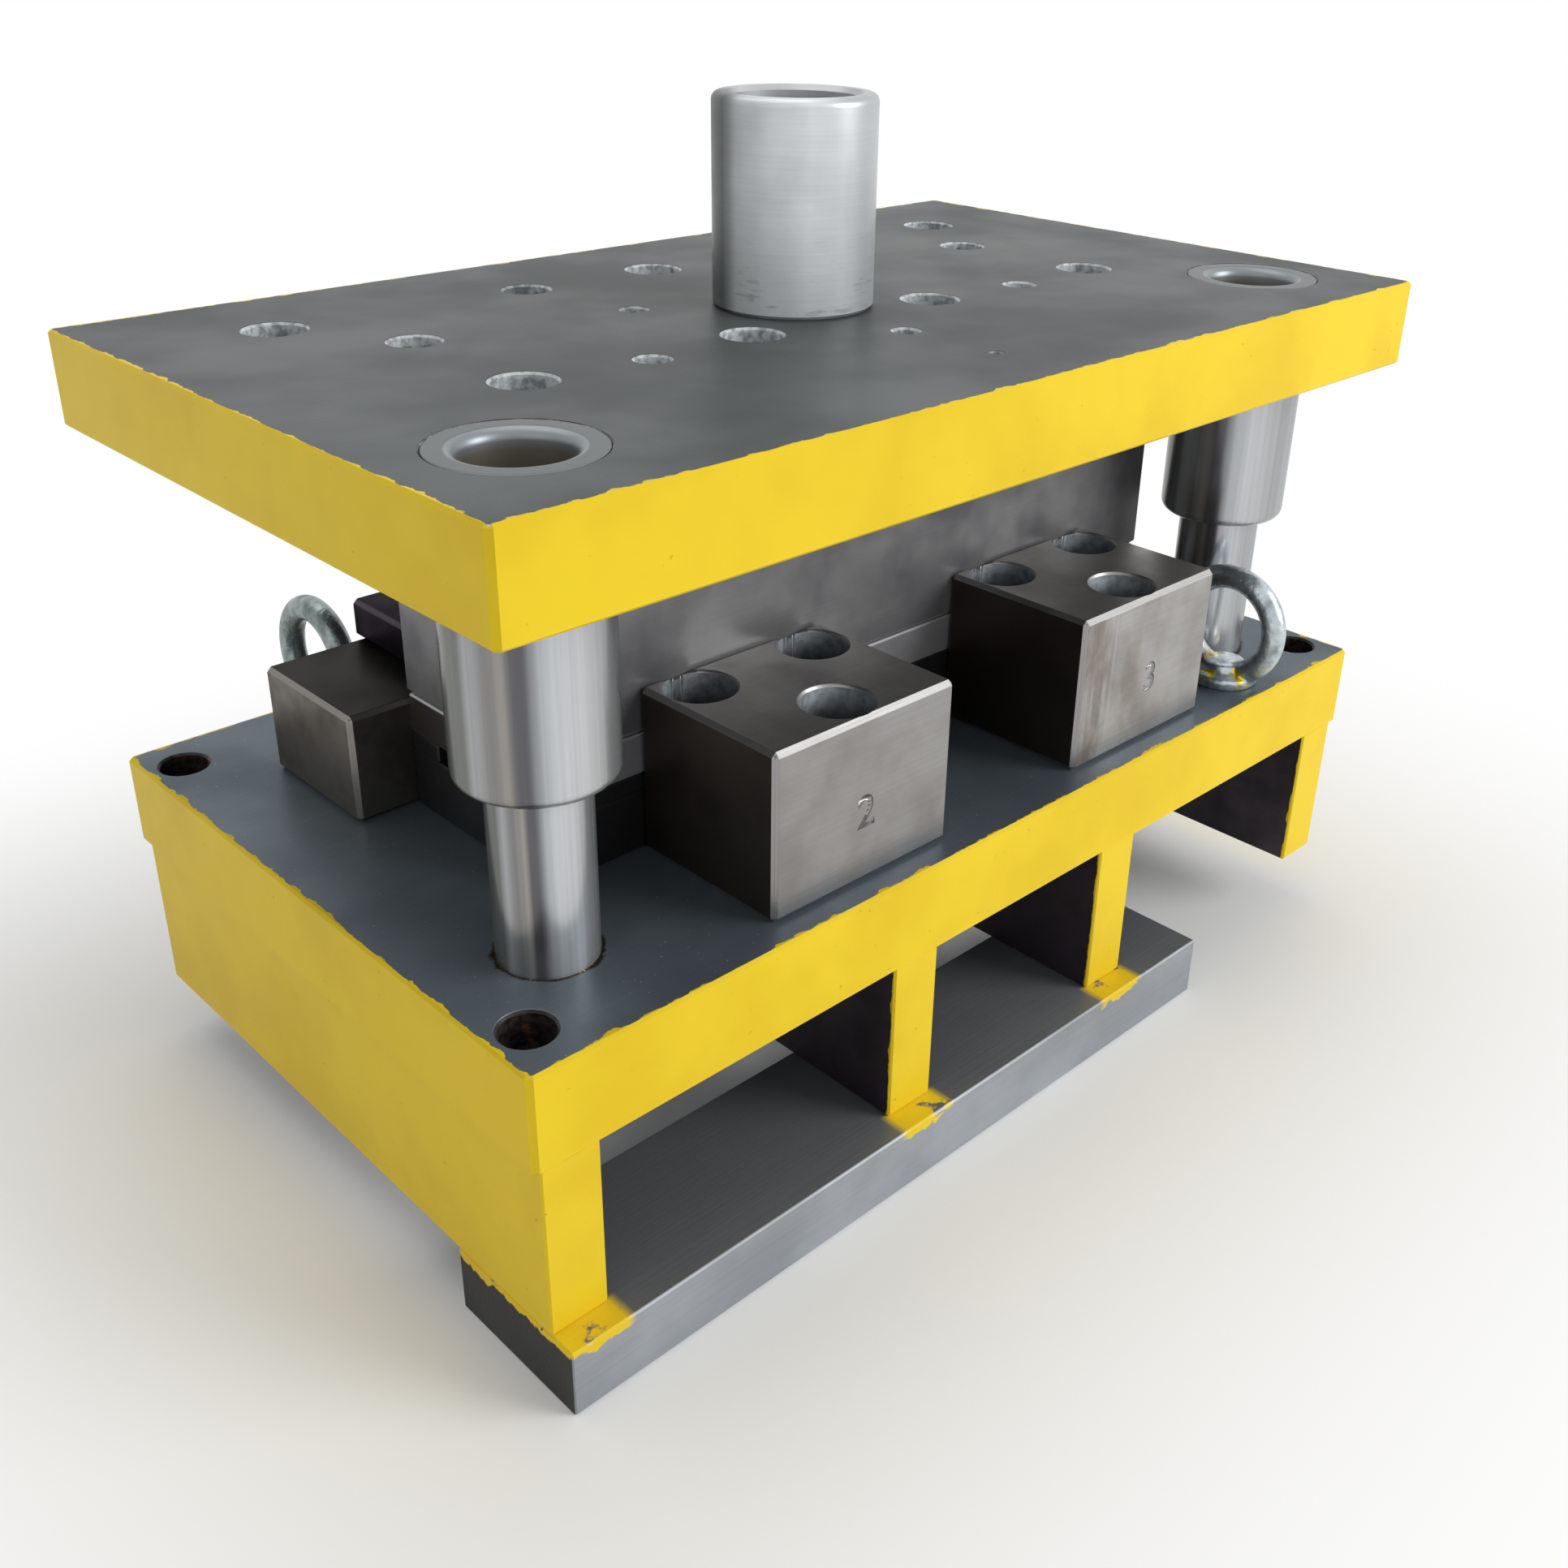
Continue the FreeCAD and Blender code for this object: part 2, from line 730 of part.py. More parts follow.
def backing_plate_screws():
    tip = upper_bottom - thread_reach
    large = [socket_screw(x, y, upper_seat(medium_screw), tip, medium_screw) for x, y in rear_screw_places()]
    small = [socket_screw(x, y, upper_seat(light_screw), tip, light_screw) for x, y in plate_screw_places()]
    return group(large + small)


def stop_post(x, y):
    post = cylinder(x, y, guide_plate_top, block_top, stop_post_diameter / 2)
    post = post.makeChamfer(plate_edge_break, [edge for edge in post.Edges if not is_upright(edge)])
    depth = thread_reach + hole_end_gap
    return post.cut(tapped_hole(x, y, block_top - depth, block_top, light_screw))


def stop_post_screws():
    tip = block_top - thread_reach
    return group([socket_screw(x, y, upper_seat(light_screw), tip, light_screw)
                  for x, y in stop_post_places()])


def upper_dowels():
    top = upper_top - dowel_sink
    pins = [dowel(x, y, block_top - dowel_depth, top, block_dowel)
            for x, y in both_sides(block_dowel_x, block_dowel_y)]
    pins += [dowel(x, y, block_top, top, plate_dowel) for x, y in plate_dowel_places()]
    return group(pins)


# Die side
def stack_plate(z0, z1, y0, y1):
    return broken_block(-tool_length / 2, tool_length / 2, y0, y1, z0, z1, plate_edge_break)


def round_die_hole(x, y, diameter):
    radius = diameter / 2 + die_clearance
    return fused([cylinder(x, y, deck, die_top, radius),
                  cylinder(x, y, deck, die_top - die_land, radius + die_relief)])


def die_plate():
    land_bottom = die_top - die_land
    tools = [round_die_hole(x, y, hole_diameter) for x, y in pierce_places() + countersink_places()]
    tools += [round_die_hole(x, y, pilot_diameter) for x, y in [web_place(-1)] + pilot_places()]
    for x, y in slot_places():
        tools.append(fused([slot_shape(x, y, deck, die_top, die_clearance),
                            slot_shape(x, y, deck, land_bottom, die_relief)]))
    tools.append(fused([blank_shape(deck, die_top, die_clearance),
                        blank_shape(deck, land_bottom, die_relief)]))
    x, y = emboss_place()
    tools.append(cylinder(x, y, deck, die_top, emboss_button_diameter / 2 + press_gap))
    tools += [cylinder(x, y, deck, die_top, lifter_diameter / 2 + lifter_clearance)
              for x, y in lifter_places()]
    tools += [clearance_hole(x, y, deck, die_top, small_screw) for x, y in stack_screw_places()]
    tools += [dowel_hole(x, y, deck, die_top, plate_dowel) for x, y in stack_dowel_places()]
    return stack_plate(deck, die_top, tool_front, tool_rear).cut(tools)


def emboss_button():
    x, y = emboss_place()
    button = cylinder(x, y, deck, die_top, emboss_button_diameter / 2)
    return button.cut(Part.makeSphere(dimple_radius, V(x, y, dimple_center_z())))


def stock_rail(row):
    middle = tool_offset + row * rail_center
    rail = stack_plate(die_top, rail_top, middle - rail_width / 2, middle + rail_width / 2)
    tools = [clearance_hole(x, y, die_top, rail_top, small_screw) for x, y in stack_screw_places()]
    tools += [dowel_hole(x, y, die_top, rail_top, plate_dowel) for x, y in stack_dowel_places()]
    return rail.cut(tools)


def stripper_plate():
    gap = stripper_gap
    plate = stack_plate(rail_top, stripper_top, tool_front, tool_rear)
    tools = [cylinder(x, y, rail_top, stripper_top, hole_diameter / 2 + gap) for x, y in pierce_places()]
    tools += [cylinder(x, y, rail_top, stripper_top, pilot_diameter / 2 + gap)
              for x, y in [web_place(-1)] + pilot_places()]
    tools += [cylinder(x, y, rail_top, stripper_top, countersink_diameter / 2 + gap)
              for x, y in countersink_places()]
    tools += [slot_shape(x, y, rail_top, stripper_top, gap) for x, y in slot_places()]
    x, y = emboss_place()
    tools.append(cylinder(x, y, rail_top, stripper_top, emboss_body_diameter / 2 + gap))
    tools.append(blank_shape(rail_top, stripper_top, gap))
    tools += [counterbore(x, y, stripper_top, stack_seat(), rail_top, small_screw)
              for x, y in stack_screw_places()]
    tools += [dowel_hole(x, y, rail_top, stripper_top, plate_dowel) for x, y in stack_dowel_places()]
    return plate.cut(tools)


def stack_seat():
    return stripper_top - small_screw - plate_edge_break


def stack_screws():
    tip = deck - thread_reach
    return group([socket_screw(x, y, stack_seat(), tip, small_screw) for x, y in stack_screw_places()])


def stack_dowels():
    return group([dowel(x, y, deck - dowel_depth, stripper_top - plate_edge_break, plate_dowel)
                  for x, y in stack_dowel_places()])


def stock_lifter(x, y):
    head = cylinder(x, y, deck - lifter_head_height, deck, lifter_head_diameter / 2)
    pin = cylinder(x, y, deck, die_top + lifter_rise, lifter_diameter / 2)
    rim = [edge for edge in pin.Edges if edge.BoundBox.ZMin > die_top]
    pin = pin.makeChamfer(plate_edge_break, [edge for edge in rim if not is_upright(edge)])
    return head.fuse(pin)


def lifter_spring(x, y):
    bottom = deck - lifter_pocket_depth
    rise = lifter_pocket_depth - lifter_head_height - spring_wire_height
    radius = lifter_head_diameter / 2 - spring_side_gap - spring_wire_width / 2
    helix = Part.makeHelix(rise / spring_turns, rise, radius)
    half_width = spring_wire_width / 2
    half_height = spring_wire_height / 2
    corners = [V(radius - half_width, 0, -half_height), V(radius + half_width, 0, -half_height),
               V(radius + half_width, 0, half_height), V(radius - half_width, 0, half_height)]
    section = Part.makePolygon(corners + corners[:1])
    coil = Part.Wire(helix.Edges).makePipeShell([section], True, True)
    coil.translate(V(x, y, bottom + half_height))
    return coil


# Heel blocks
def front_heel_block(x):
    top = deck + front_heel_height
    block = broken_block(x - front_heel_length / 2, x + front_heel_length / 2,
                         front_heel_front, front_heel_rear, deck, top, heel_chamfer)
    tools = [counterbore(sx, sy, top, top - heel_counterbore, deck, large_screw)
             for sx, sy in front_heel_screw_places(x)]
    return block.cut(tools)


def front_heel_screws():
    seat = deck + front_heel_height - heel_counterbore
    return group([socket_screw(sx, sy, seat, deck - thread_reach, large_screw)
                  for x in front_heel_places() for sx, sy in front_heel_screw_places(x)])


def rear_heel_block(side):
    outer = side * rear_heel_outer
    inner = side * (rear_heel_outer - rear_heel_length)
    block = broken_block(min(outer, inner), max(outer, inner), rear_heel_front, rear_heel_rear,
                         deck, guide_plate_bottom, heel_chamfer)
    tools = [clearance_hole(x, y, deck, guide_plate_bottom, light_screw)
             for x, y in guide_plate_screw_places()]
    return block.cut(tools)


def guide_plate_seat():
    return guide_plate_top - light_screw - plate_edge_break


def rear_guide_plate():
    plate = broken_block(-guide_plate_length / 2, guide_plate_length / 2, rear_heel_front,
                         rear_heel_rear + guide_plate_rear_reach, guide_plate_bottom, guide_plate_top,
                         heel_chamfer)
    tools = [counterbore(x, y, guide_plate_top, guide_plate_seat(), guide_plate_bottom, light_screw)
             for x, y in guide_plate_screw_places()]
    return plate.cut(tools)


def guide_plate_screws():
    tip = deck - thread_reach
    return group([socket_screw(x, y, guide_plate_seat(), tip, light_screw)
                  for x, y in guide_plate_screw_places()])


# Eye bolts
def eye_places():
    return [(left_eye_x, left_eye_y), (right_eye_x, right_eye_y)]


def eye_bolt(x, y):
    section = (eye_outer_diameter - eye_hole_diameter) / 4
    ring = Part.makeTorus(eye_hole_diameter / 2 + section, section, V(x, y, deck + eye_height), V(1, 0, 0))
    reach = eye_outer_diameter
    below = box(x - reach, x + reach, y - reach, y + reach, deck - reach, deck)
    collar = cylinder(x, y, deck, deck + eye_collar_height / 2, eye_collar_diameter / 2)
    neck = Part.makeCone(eye_collar_diameter / 2, eye_neck_diameter / 2, eye_collar_height / 2,
                         V(x, y, deck + eye_collar_height / 2))
    thread = cylinder(x, y, deck - eye_thread_length, deck, eye_thread / 2)
    return fused([ring.cut(below), collar, neck, thread])


# Writing every piece
def save_die_set():
    for number, x in enumerate(riser_places(), 1):
        save("riser_%d" % number, riser(x))
    save("front_support_bar", support_bar(-1))
    save("rear_support_bar", support_bar(1))
    save("bar_screws", bar_screws())
    save("lower_shoe", lower_shoe())
    save("riser_screws", riser_screws())
    for side, place in zip(("left", "right"), pillar_places()):
        save("guide_pillar_" + side, guide_pillar(*place))
        save("guide_bush_" + side, guide_bush(*place))
    for side, place in zip(("left", "right"), eye_places()):
        save("eye_bolt_" + side, eye_bolt(*place))
    save("upper_shoe", upper_shoe())
    save("shank", shank())


def save_punch_side():
    save("backing_plate", backing_plate())
    save("punch_block", punch_block())
    save("piercing_punches", piercing_punches())
    save("pilot_hole_punch", pilot_hole_punch())
    save("pilots", pilots())
    save("countersink_punches", countersink_punches())
    save("emboss_punch", emboss_punch())
    save("slot_punches", slot_punches())
    save("blanking_punch", blanking_punch())
    save("blanking_punch_screw", blanking_punch_screw())
    save("block_screws", block_screws())
    save("backing_plate_screws", backing_plate_screws())
    save("stop_post_screws", stop_post_screws())
    save("upper_dowels", upper_dowels())
    for side, place in zip(("left", "right"), stop_post_places()):
        save("stop_post_" + side, stop_post(*place))


def save_die_side():
    save("die_plate", die_plate())
    save("emboss_die_button", emboss_button())
    save("front_stock_rail", stock_rail(-1))
    save("rear_stock_rail", stock_rail(1))
    save("stripper_plate", stripper_plate())
    save("stack_screws", stack_screws())
    save("stack_dowels", stack_dowels())
    for number, place in enumerate(lifter_places(), 1):
        save("stock_lifter_%d" % number, stock_lifter(*place))
        save("lifter_spring_%d" % number, lifter_spring(*place))
    left, right = front_heel_places()
    save("front_heel_block_2", front_heel_block(left))
    save("front_heel_block_3", front_heel_block(right))
    save("front_heel_screws", front_heel_screws())
    save("rear_heel_block_1", rear_heel_block(-1))
    save("rear_heel_block_4", rear_heel_block(1))
    save("rear_guide_plate", rear_guide_plate())
    save("guide_plate_screws", guide_plate_screws())


os.makedirs("parts", exist_ok=True)
save_die_set()
save_punch_side()
save_die_side()
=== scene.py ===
import bmesh
import bpy
import json
import math
from mathutils import Matrix, Vector


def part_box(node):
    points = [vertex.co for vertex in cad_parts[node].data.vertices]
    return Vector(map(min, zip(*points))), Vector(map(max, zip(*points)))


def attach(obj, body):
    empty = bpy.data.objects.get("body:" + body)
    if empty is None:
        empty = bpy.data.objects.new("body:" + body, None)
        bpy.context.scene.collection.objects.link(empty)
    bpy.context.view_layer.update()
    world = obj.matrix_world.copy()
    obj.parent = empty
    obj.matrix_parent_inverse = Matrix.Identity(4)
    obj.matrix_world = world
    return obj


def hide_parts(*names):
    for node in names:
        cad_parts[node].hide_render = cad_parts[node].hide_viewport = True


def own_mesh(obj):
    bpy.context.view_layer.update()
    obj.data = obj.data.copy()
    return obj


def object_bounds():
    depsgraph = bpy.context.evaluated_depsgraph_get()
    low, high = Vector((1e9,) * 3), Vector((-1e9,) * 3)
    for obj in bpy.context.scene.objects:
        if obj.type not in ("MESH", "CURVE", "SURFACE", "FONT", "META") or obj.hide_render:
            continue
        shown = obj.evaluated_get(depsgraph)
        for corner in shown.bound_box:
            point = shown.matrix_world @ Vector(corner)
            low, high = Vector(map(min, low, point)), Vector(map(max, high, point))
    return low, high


# A progressive stamping die on its risers. Metres, Z up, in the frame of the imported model.
# Lengths inside the functions are in millimetres and are turned to metres where a mesh is made.

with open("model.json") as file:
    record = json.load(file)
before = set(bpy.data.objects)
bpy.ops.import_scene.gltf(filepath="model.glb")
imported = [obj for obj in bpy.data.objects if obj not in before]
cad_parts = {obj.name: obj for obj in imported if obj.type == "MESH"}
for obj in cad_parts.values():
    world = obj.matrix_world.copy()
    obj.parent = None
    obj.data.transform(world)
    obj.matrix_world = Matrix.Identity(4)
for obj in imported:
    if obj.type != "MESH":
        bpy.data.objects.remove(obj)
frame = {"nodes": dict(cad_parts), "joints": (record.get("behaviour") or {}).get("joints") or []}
CAD_BOX = [list(corner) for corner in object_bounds()]
MM = 0.001
RISERS = ("riser_1", "riser_2", "riser_3", "riser_4")

bl_info = {
    "name": "Progressive stamping die",
    "version": (1, 0, 0),
    "blender": (4, 5, 0),
    "location": "3D View > Sidebar > Stamping Die",
    "description": "Dresses a progressive stamping die in paint and steel, and sets a pale stage round it",
    "category": "Object",
}


# Colours and places
def linear(hex_colour):
    """Linear red, green, blue and alpha of an sRGB colour written as six hex digits."""
    channels = [int(hex_colour[i:i + 2], 16) / 255 for i in (0, 2, 4)]
    return tuple(c / 12.92 if c <= 0.04045 else ((c + 0.055) / 1.055) ** 2.4 for c in channels) + (1.0,)


def corners(node):
    """Lowest and highest corner of a CAD node, in millimetres."""
    low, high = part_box(node)
    return Vector(low) / MM, Vector(high) / MM


def solid_boxes(node):
    """Lowest and highest corner of each solid of a CAD node, in millimetres."""
    mesh = joined_form(frame["nodes"][node].data)
    left = set(mesh.verts)
    boxes = []
    while left:
        front = [left.pop()]
        solid = list(front)
        while front:
            vertex = front.pop()
            for edge in vertex.link_edges:
                other = edge.other_vert(vertex)
                if other in left:
                    left.remove(other)
                    front.append(other)
                    solid.append(other)
        low = Vector([min(v.co[i] for v in solid) for i in range(3)]) / MM
        high = Vector([max(v.co[i] for v in solid) for i in range(3)]) / MM
        boxes.append((low, high))
    mesh.free()
    return sorted(boxes, key=lambda pair: (round(pair[0].x), round(pair[0].y)))


# Node trees
def add(tree, kind, inputs=None, **settings):
    """Adds a node with its settings, and fills its inputs, by name or number, with values or links."""
    node = tree.nodes.new(kind)
    for name, value in settings.items():
        setattr(node, name, value)
    for key, value in (inputs or {}).items():
        named = isinstance(key, str)
        socket = next(s for s in node.inputs if s.enabled and s.name == key) if named else node.inputs[key]
        if isinstance(value, bpy.types.Node):
            value = next(s for s in value.outputs if s.enabled)
        if isinstance(value, bpy.types.NodeSocket):
            tree.links.new(value, socket)
        else:
            socket.default_value = value
    return node


def new_material(name):
    """An empty material, its tree, and the place on it in millimetres."""
    material = bpy.data.materials.new(name)
    material.use_nodes = True
    tree = material.node_tree
    tree.nodes.clear()
    metres = add(tree, "ShaderNodeTexCoord").outputs["Object"]
    return material, tree, add(tree, "ShaderNodeMapping", {"Vector": metres, "Scale": (1000, 1000, 1000)})


def patches(tree, place, size, low, high, detail=3.0, stretch=(1, 1, 1)):
    """0 to 1 in soft patches about as wide as size, in millimetres."""
    turned = add(tree, "ShaderNodeMapping", {"Vector": place, "Scale": stretch})
    noise = add(tree, "ShaderNodeTexNoise",
                {"Vector": turned, "Scale": 1 / size, "Detail": detail, "Roughness": 0.55})
    return add(tree, "ShaderNodeMapRange", {"Value": noise, "From Min": low, "From Max": high},
               interpolation_type="SMOOTHSTEP")


def depths(tree, place, node):
    """How far in from a block's nearest end, side and top or bottom each point lies, in millimetres."""
    low, high = corners(node)
    out = add(tree, "ShaderNodeVectorMath", {0: place, 1: (low + high) / 2}, operation="SUBTRACT")
    out = add(tree, "ShaderNodeVectorMath", {0: out}, operation="ABSOLUTE")
    inward = add(tree, "ShaderNodeVectorMath", {0: (high - low) / 2, 1: out}, operation="SUBTRACT")
    return add(tree, "ShaderNodeSeparateXYZ", {0: inward}).outputs


def depth_below_skin(tree, inward):
    """How deep under its outer faces a block was cut: 0 on them, more on chamfers, in digits and in bores."""
    sides = add(tree, "ShaderNodeMath", {0: inward["X"], 1: inward["Y"]}, operation="MINIMUM")
    return add(tree, "ShaderNodeMath", {0: sides, 1: inward["Z"]}, operation="MINIMUM")


def stained(tree, colour, stain, *shares):
    """The colour with a stain over it, as strongly as all the shares multiplied."""
    where = shares[0]
    for share in shares[1:]:
        where = add(tree, "ShaderNodeMath", {0: where, 1: share}, operation="MULTIPLY")
    return add(tree, "ShaderNodeMix", {"Factor": where, "A": colour, "B": linear(stain)}, data_type="RGBA")


def changed(tree, colour, value, start, stop, other):
    """The colour, changed to another one while a value goes from start to stop."""
    share = add(tree, "ShaderNodeMapRange", {"Value": value, "From Min": start, "From Max": stop})
    return add(tree, "ShaderNodeMix", {"Factor": share, "A": colour, "B": linear(other)}, data_type="RGBA")


def speckled(tree, place, size, low, high, detail, ground, spots):
    """A ground colour with soft patches of another."""
    share = patches(tree, place, size, low, high, detail)
    return add(tree, "ShaderNodeMix", {"Factor": share, "A": linear(ground), "B": linear(spots)},
               data_type="RGBA")


def shaded(tree, colour, lines, dark, light):
    """The colour with fine lines in it, between two factors of its brightness."""
    shade = add(tree, "ShaderNodeMix",
                {"Factor": lines, "A": (dark, dark, dark, 1), "B": (light, light, light, 1)}, data_type="RGBA")
    return add(tree, "ShaderNodeMix", {"Factor": 1.0, "A": colour, "B": shade}, data_type="RGBA",
               blend_type="MULTIPLY")


def in_bores(tree, place, node, inward, cut_away):
    """1 in a block's bores. The rear bores come so near the rear face that the depth alone misses them."""
    far_in = add(tree, "ShaderNodeMapRange",
                 {"Value": depth_below_skin(tree, inward), "From Min": 0.7, "From Max": 0.8})
    low, high = corners(node)
    across = add(tree, "ShaderNodeSeparateXYZ", {0: place}).outputs["Y"]
    rear_half = add(tree, "ShaderNodeMath", {0: across, 1: (low.y + high.y) / 2}, operation="GREATER_THAN")
    from_edges = add(tree, "ShaderNodeMath", {0: inward["X"], 1: inward["Z"]}, operation="MINIMUM")
    past_chamfer = add(tree, "ShaderNodeMapRange", {"Value": from_edges, "From Min": 1.6, "From Max": 1.8})
    thin_wall = add(tree, "ShaderNodeMath", {0: rear_half, 1: cut_away}, operation="MULTIPLY")
    thin_wall = add(tree, "ShaderNodeMath", {0: thin_wall, 1: past_chamfer}, operation="MULTIPLY")
    return add(tree, "ShaderNodeMath", {0: far_in, 1: thin_wall}, operation="MAXIMUM")


def cuts_and_bores_with_painted_light(tree, place, node, colour, cut):
    """Lighter chamfers, partly fresh metal and partly painted highlight, bright digits, and bores that darken with
    depth as painted shade, over the colour of a block's faces.
    """
    inward = depths(tree, place, node)
    cut_away = add(tree, "ShaderNodeMapRange",
                   {"Value": depth_below_skin(tree, inward), "From Min": 0.06, "From Max": 0.16})
    bored = in_bores(tree, place, node, inward, cut_away)
    bore = speckled(tree, place, 3.0, 0.3, 0.75, 2.0, "8C949A", "676D72")
    # Painted shade, darker deeper down the bore.
    bore = changed(tree, bore, inward["Z"], 3.0, 13.0, "262627")
    # The chamfers' lighter colour is partly fresh metal and partly painted highlight.
    fresh = add(tree, "ShaderNodeMix", {"Factor": bored, "A": linear(cut), "B": bore}, data_type="RGBA")
    return add(tree, "ShaderNodeMix", {"Factor": cut_away, "A": colour, "B": fresh}, data_type="RGBA"), bored


def oil_ring(tree, place, colour, node, reach, dark, glint):
    """A dark ring of old oil round the foot of an upright guide and of its twin on the other side, speckled with
    painted glints.
    """
    low, high = corners(node)
    middle = (low + high) / 2
    apart = add(tree, "ShaderNodeSeparateXYZ", {0: place}).outputs
    either = add(tree, "ShaderNodeMath", {0: apart["X"]}, operation="ABSOLUTE")
    flat = add(tree, "ShaderNodeCombineXYZ", {"X": either, "Y": apart["Y"]})
    away = add(tree, "ShaderNodeVectorMath", {0: flat, 1: (middle.x, middle.y, 0)}, operation="DISTANCE")
    uneven = add(tree, "ShaderNodeMath", {0: patches(tree, place, 5.0, 0.3, 0.7), 1: reach, 2: away},
                 operation="MULTIPLY_ADD")
    edge = (high.x - low.x) / 2 + 2 * reach
    ring = add(tree, "ShaderNodeMapRange", {"Value": uneven, "From Min": edge, "From Max": edge - reach},
               interpolation_type="SMOOTHSTEP")
    oil_and_painted_light = speckled(tree, place, 0.9, 0.6, 0.7, 2.0, dark, glint)
    return add(tree, "ShaderNodeMix", {"Factor": ring, "A": colour, "B": oil_and_painted_light}, data_type="RGBA")


def steel_face(tree, place, light, dark, roughness, cloud, grain, along):
    """Colour, roughness and height of a machined face: clouds of dried oil over fine cutter lines."""
    # Real grinding lines lie about 0.1 mm apart, too fine to show, so a grain of 0.5 to 1.2 mm stands for them.
    haze = patches(tree, place, cloud, 0.34, 0.68)
    lines = patches(tree, place, grain, 0.3, 0.7, 2.0, [0.02 if axis in along else 1.0 for axis in "XYZ"])
    tone = add(tree, "ShaderNodeMix", {"Factor": haze, "A": linear(light), "B": linear(dark)}, data_type="RGBA")
    colour = shaded(tree, tone, lines, 0.97, 1.03)
    gloss = add(tree, "ShaderNodeMath", {0: haze, 1: 0.1, 2: roughness - 0.05}, operation="MULTIPLY_ADD")
    return colour, gloss, lines


def end_material(tree, colour, metallic, roughness, height, relief, mirror=0.5, edge="FFFFFF"):
    """Ends a material with its shader, a relief of that many millimetres, and its tint at a low angle."""
    bump = add(tree, "ShaderNodeBump", {"Height": height, "Strength": 1.0, "Distance": relief * MM})
    shader = add(tree, "ShaderNodeBsdfPrincipled",
                 {"Base Color": colour, "Metallic": metallic, "Roughness": roughness, "Normal": bump,
                  "Specular IOR Level": mirror, "Specular Tint": linear(edge)})
    add(tree, "ShaderNodeOutputMaterial", {"Surface": shader})


# Plain steel, ground, milled or turned. An oil film takes some of its mirror, so part of what it
# sends back is soft and the faces turned from the light go dark.
def steel(name, light, dark, metallic=0.7, roughness=0.36, cloud=30.0, grain=0.8, along="X", relief=0.008):
    material, tree, place = new_material(name)
    colour, gloss, lines = steel_face(tree, place, light, dark, roughness, cloud, grain, along)
    end_material(tree, colour, metallic, gloss, lines, relief)
    return material


# Ground or milled block: hazed with oil on its faces, brighter where chamfers and digits were cut last, the
# chamfers partly as painted highlight, and dull in its drilled bores, which darken with depth as painted shade.
# One pair of its faces can be darkened as painted shade.
def block_steel(name, node, light, dark, cut, metallic=0.88, roughness=0.38, cloud=24.0,
                painted_shade_axis="X", oil_and_painted_light=None, scratched=0.0, edge="FFFFFF"):
    material, tree, place = new_material(name)
    colour, gloss, lines = steel_face(tree, place, light, dark, roughness, cloud, 0.9, "X")
    if scratched:
        colour = scratched_face(tree, place, colour, node, scratched)
    # One pair of faces darkened as painted shade.
    if oil_and_painted_light:
        colour = changed(tree, colour, depths(tree, place, node)[painted_shade_axis], 0.1, 0.05, oil_and_painted_light)
    colour, bored = cuts_and_bores_with_painted_light(tree, place, node, colour, cut)
    gloss = add(tree, "ShaderNodeMix", {"Factor": bored, "A": gloss, "B": 0.6})
    metal = add(tree, "ShaderNodeMix", {"Factor": bored, "A": metallic, "B": 0.35})
    end_material(tree, colour, metal, gloss, lines, 0.008, edge=edge)
    return material


def scratched_face(tree, place, colour, node, strength):
    """Upright scratches in a strip at the left of a block's front, a line beside it, and brown stains."""
    low, high = corners(node)
    strip_width = 17.0
    apart = add(tree, "ShaderNodeSeparateXYZ", {0: place}).outputs
    front = add(tree, "ShaderNodeMapRange",
                {"Value": apart["Y"], "From Min": low.y + 0.3, "From Max": low.y + 0.1})
    edge = low.x + strip_width
    strip = add(tree, "ShaderNodeMapRange", {"Value": apart["X"], "From Min": edge + 0.2, "From Max": edge - 0.2})
    upright = patches(tree, place, 1.6, 0.35, 0.7, 2.0, (1, 1, 0.03))
    colour = stained(tree, colour, "B4B2AF", upright, strip, front, strength)
    beside = add(tree, "ShaderNodeMapRange", {"Value": apart["X"], "From Min": low.x + 46, "From Max": edge})
    blots = patches(tree, place, 14.0, 0.38, 0.7, 4.0, (1, 1, 0.6))
    return stained(tree, colour, "6A5A4E", blots, beside, front, strength)


# Alkyd enamel, brushed on by hand: glossy lemon yellow, with slow waves, a warmer tone where it is
# thick, and specks of greenish dirt.
def enamel_colour(tree, place, look):
    thick = patches(tree, place, 50.0, 0.35, 0.7)
    colour = add(tree, "ShaderNodeMix", {"Factor": thick, "A": look.enamel, "B": look.enamel_shade},
                 data_type="RGBA")
    dirt = patches(tree, place, 4.0, 0.69, 0.78, 5.0, (1, 1, 1.8))
    return stained(tree, colour, "7A7430", dirt, 0.6)


def enamelled(tree, place, look, enamel, colour, metal, gloss):
    """Colour, metallic, roughness and mirror of bare steel with enamel over it where that is 1."""
    colour = add(tree, "ShaderNodeMix",
                 {"Factor": enamel, "A": colour, "B": enamel_colour(tree, place, look)}, data_type="RGBA")
    metal = add(tree, "ShaderNodeMix", {"Factor": enamel, "A": metal, "B": 0.0})
    gloss = add(tree, "ShaderNodeMix", {"Factor": enamel, "A": gloss, "B": 0.36})
    mirror = add(tree, "ShaderNodeMix", {"Factor": enamel, "A": 0.5, "B": 0.12})
    return colour, metal, gloss, mirror
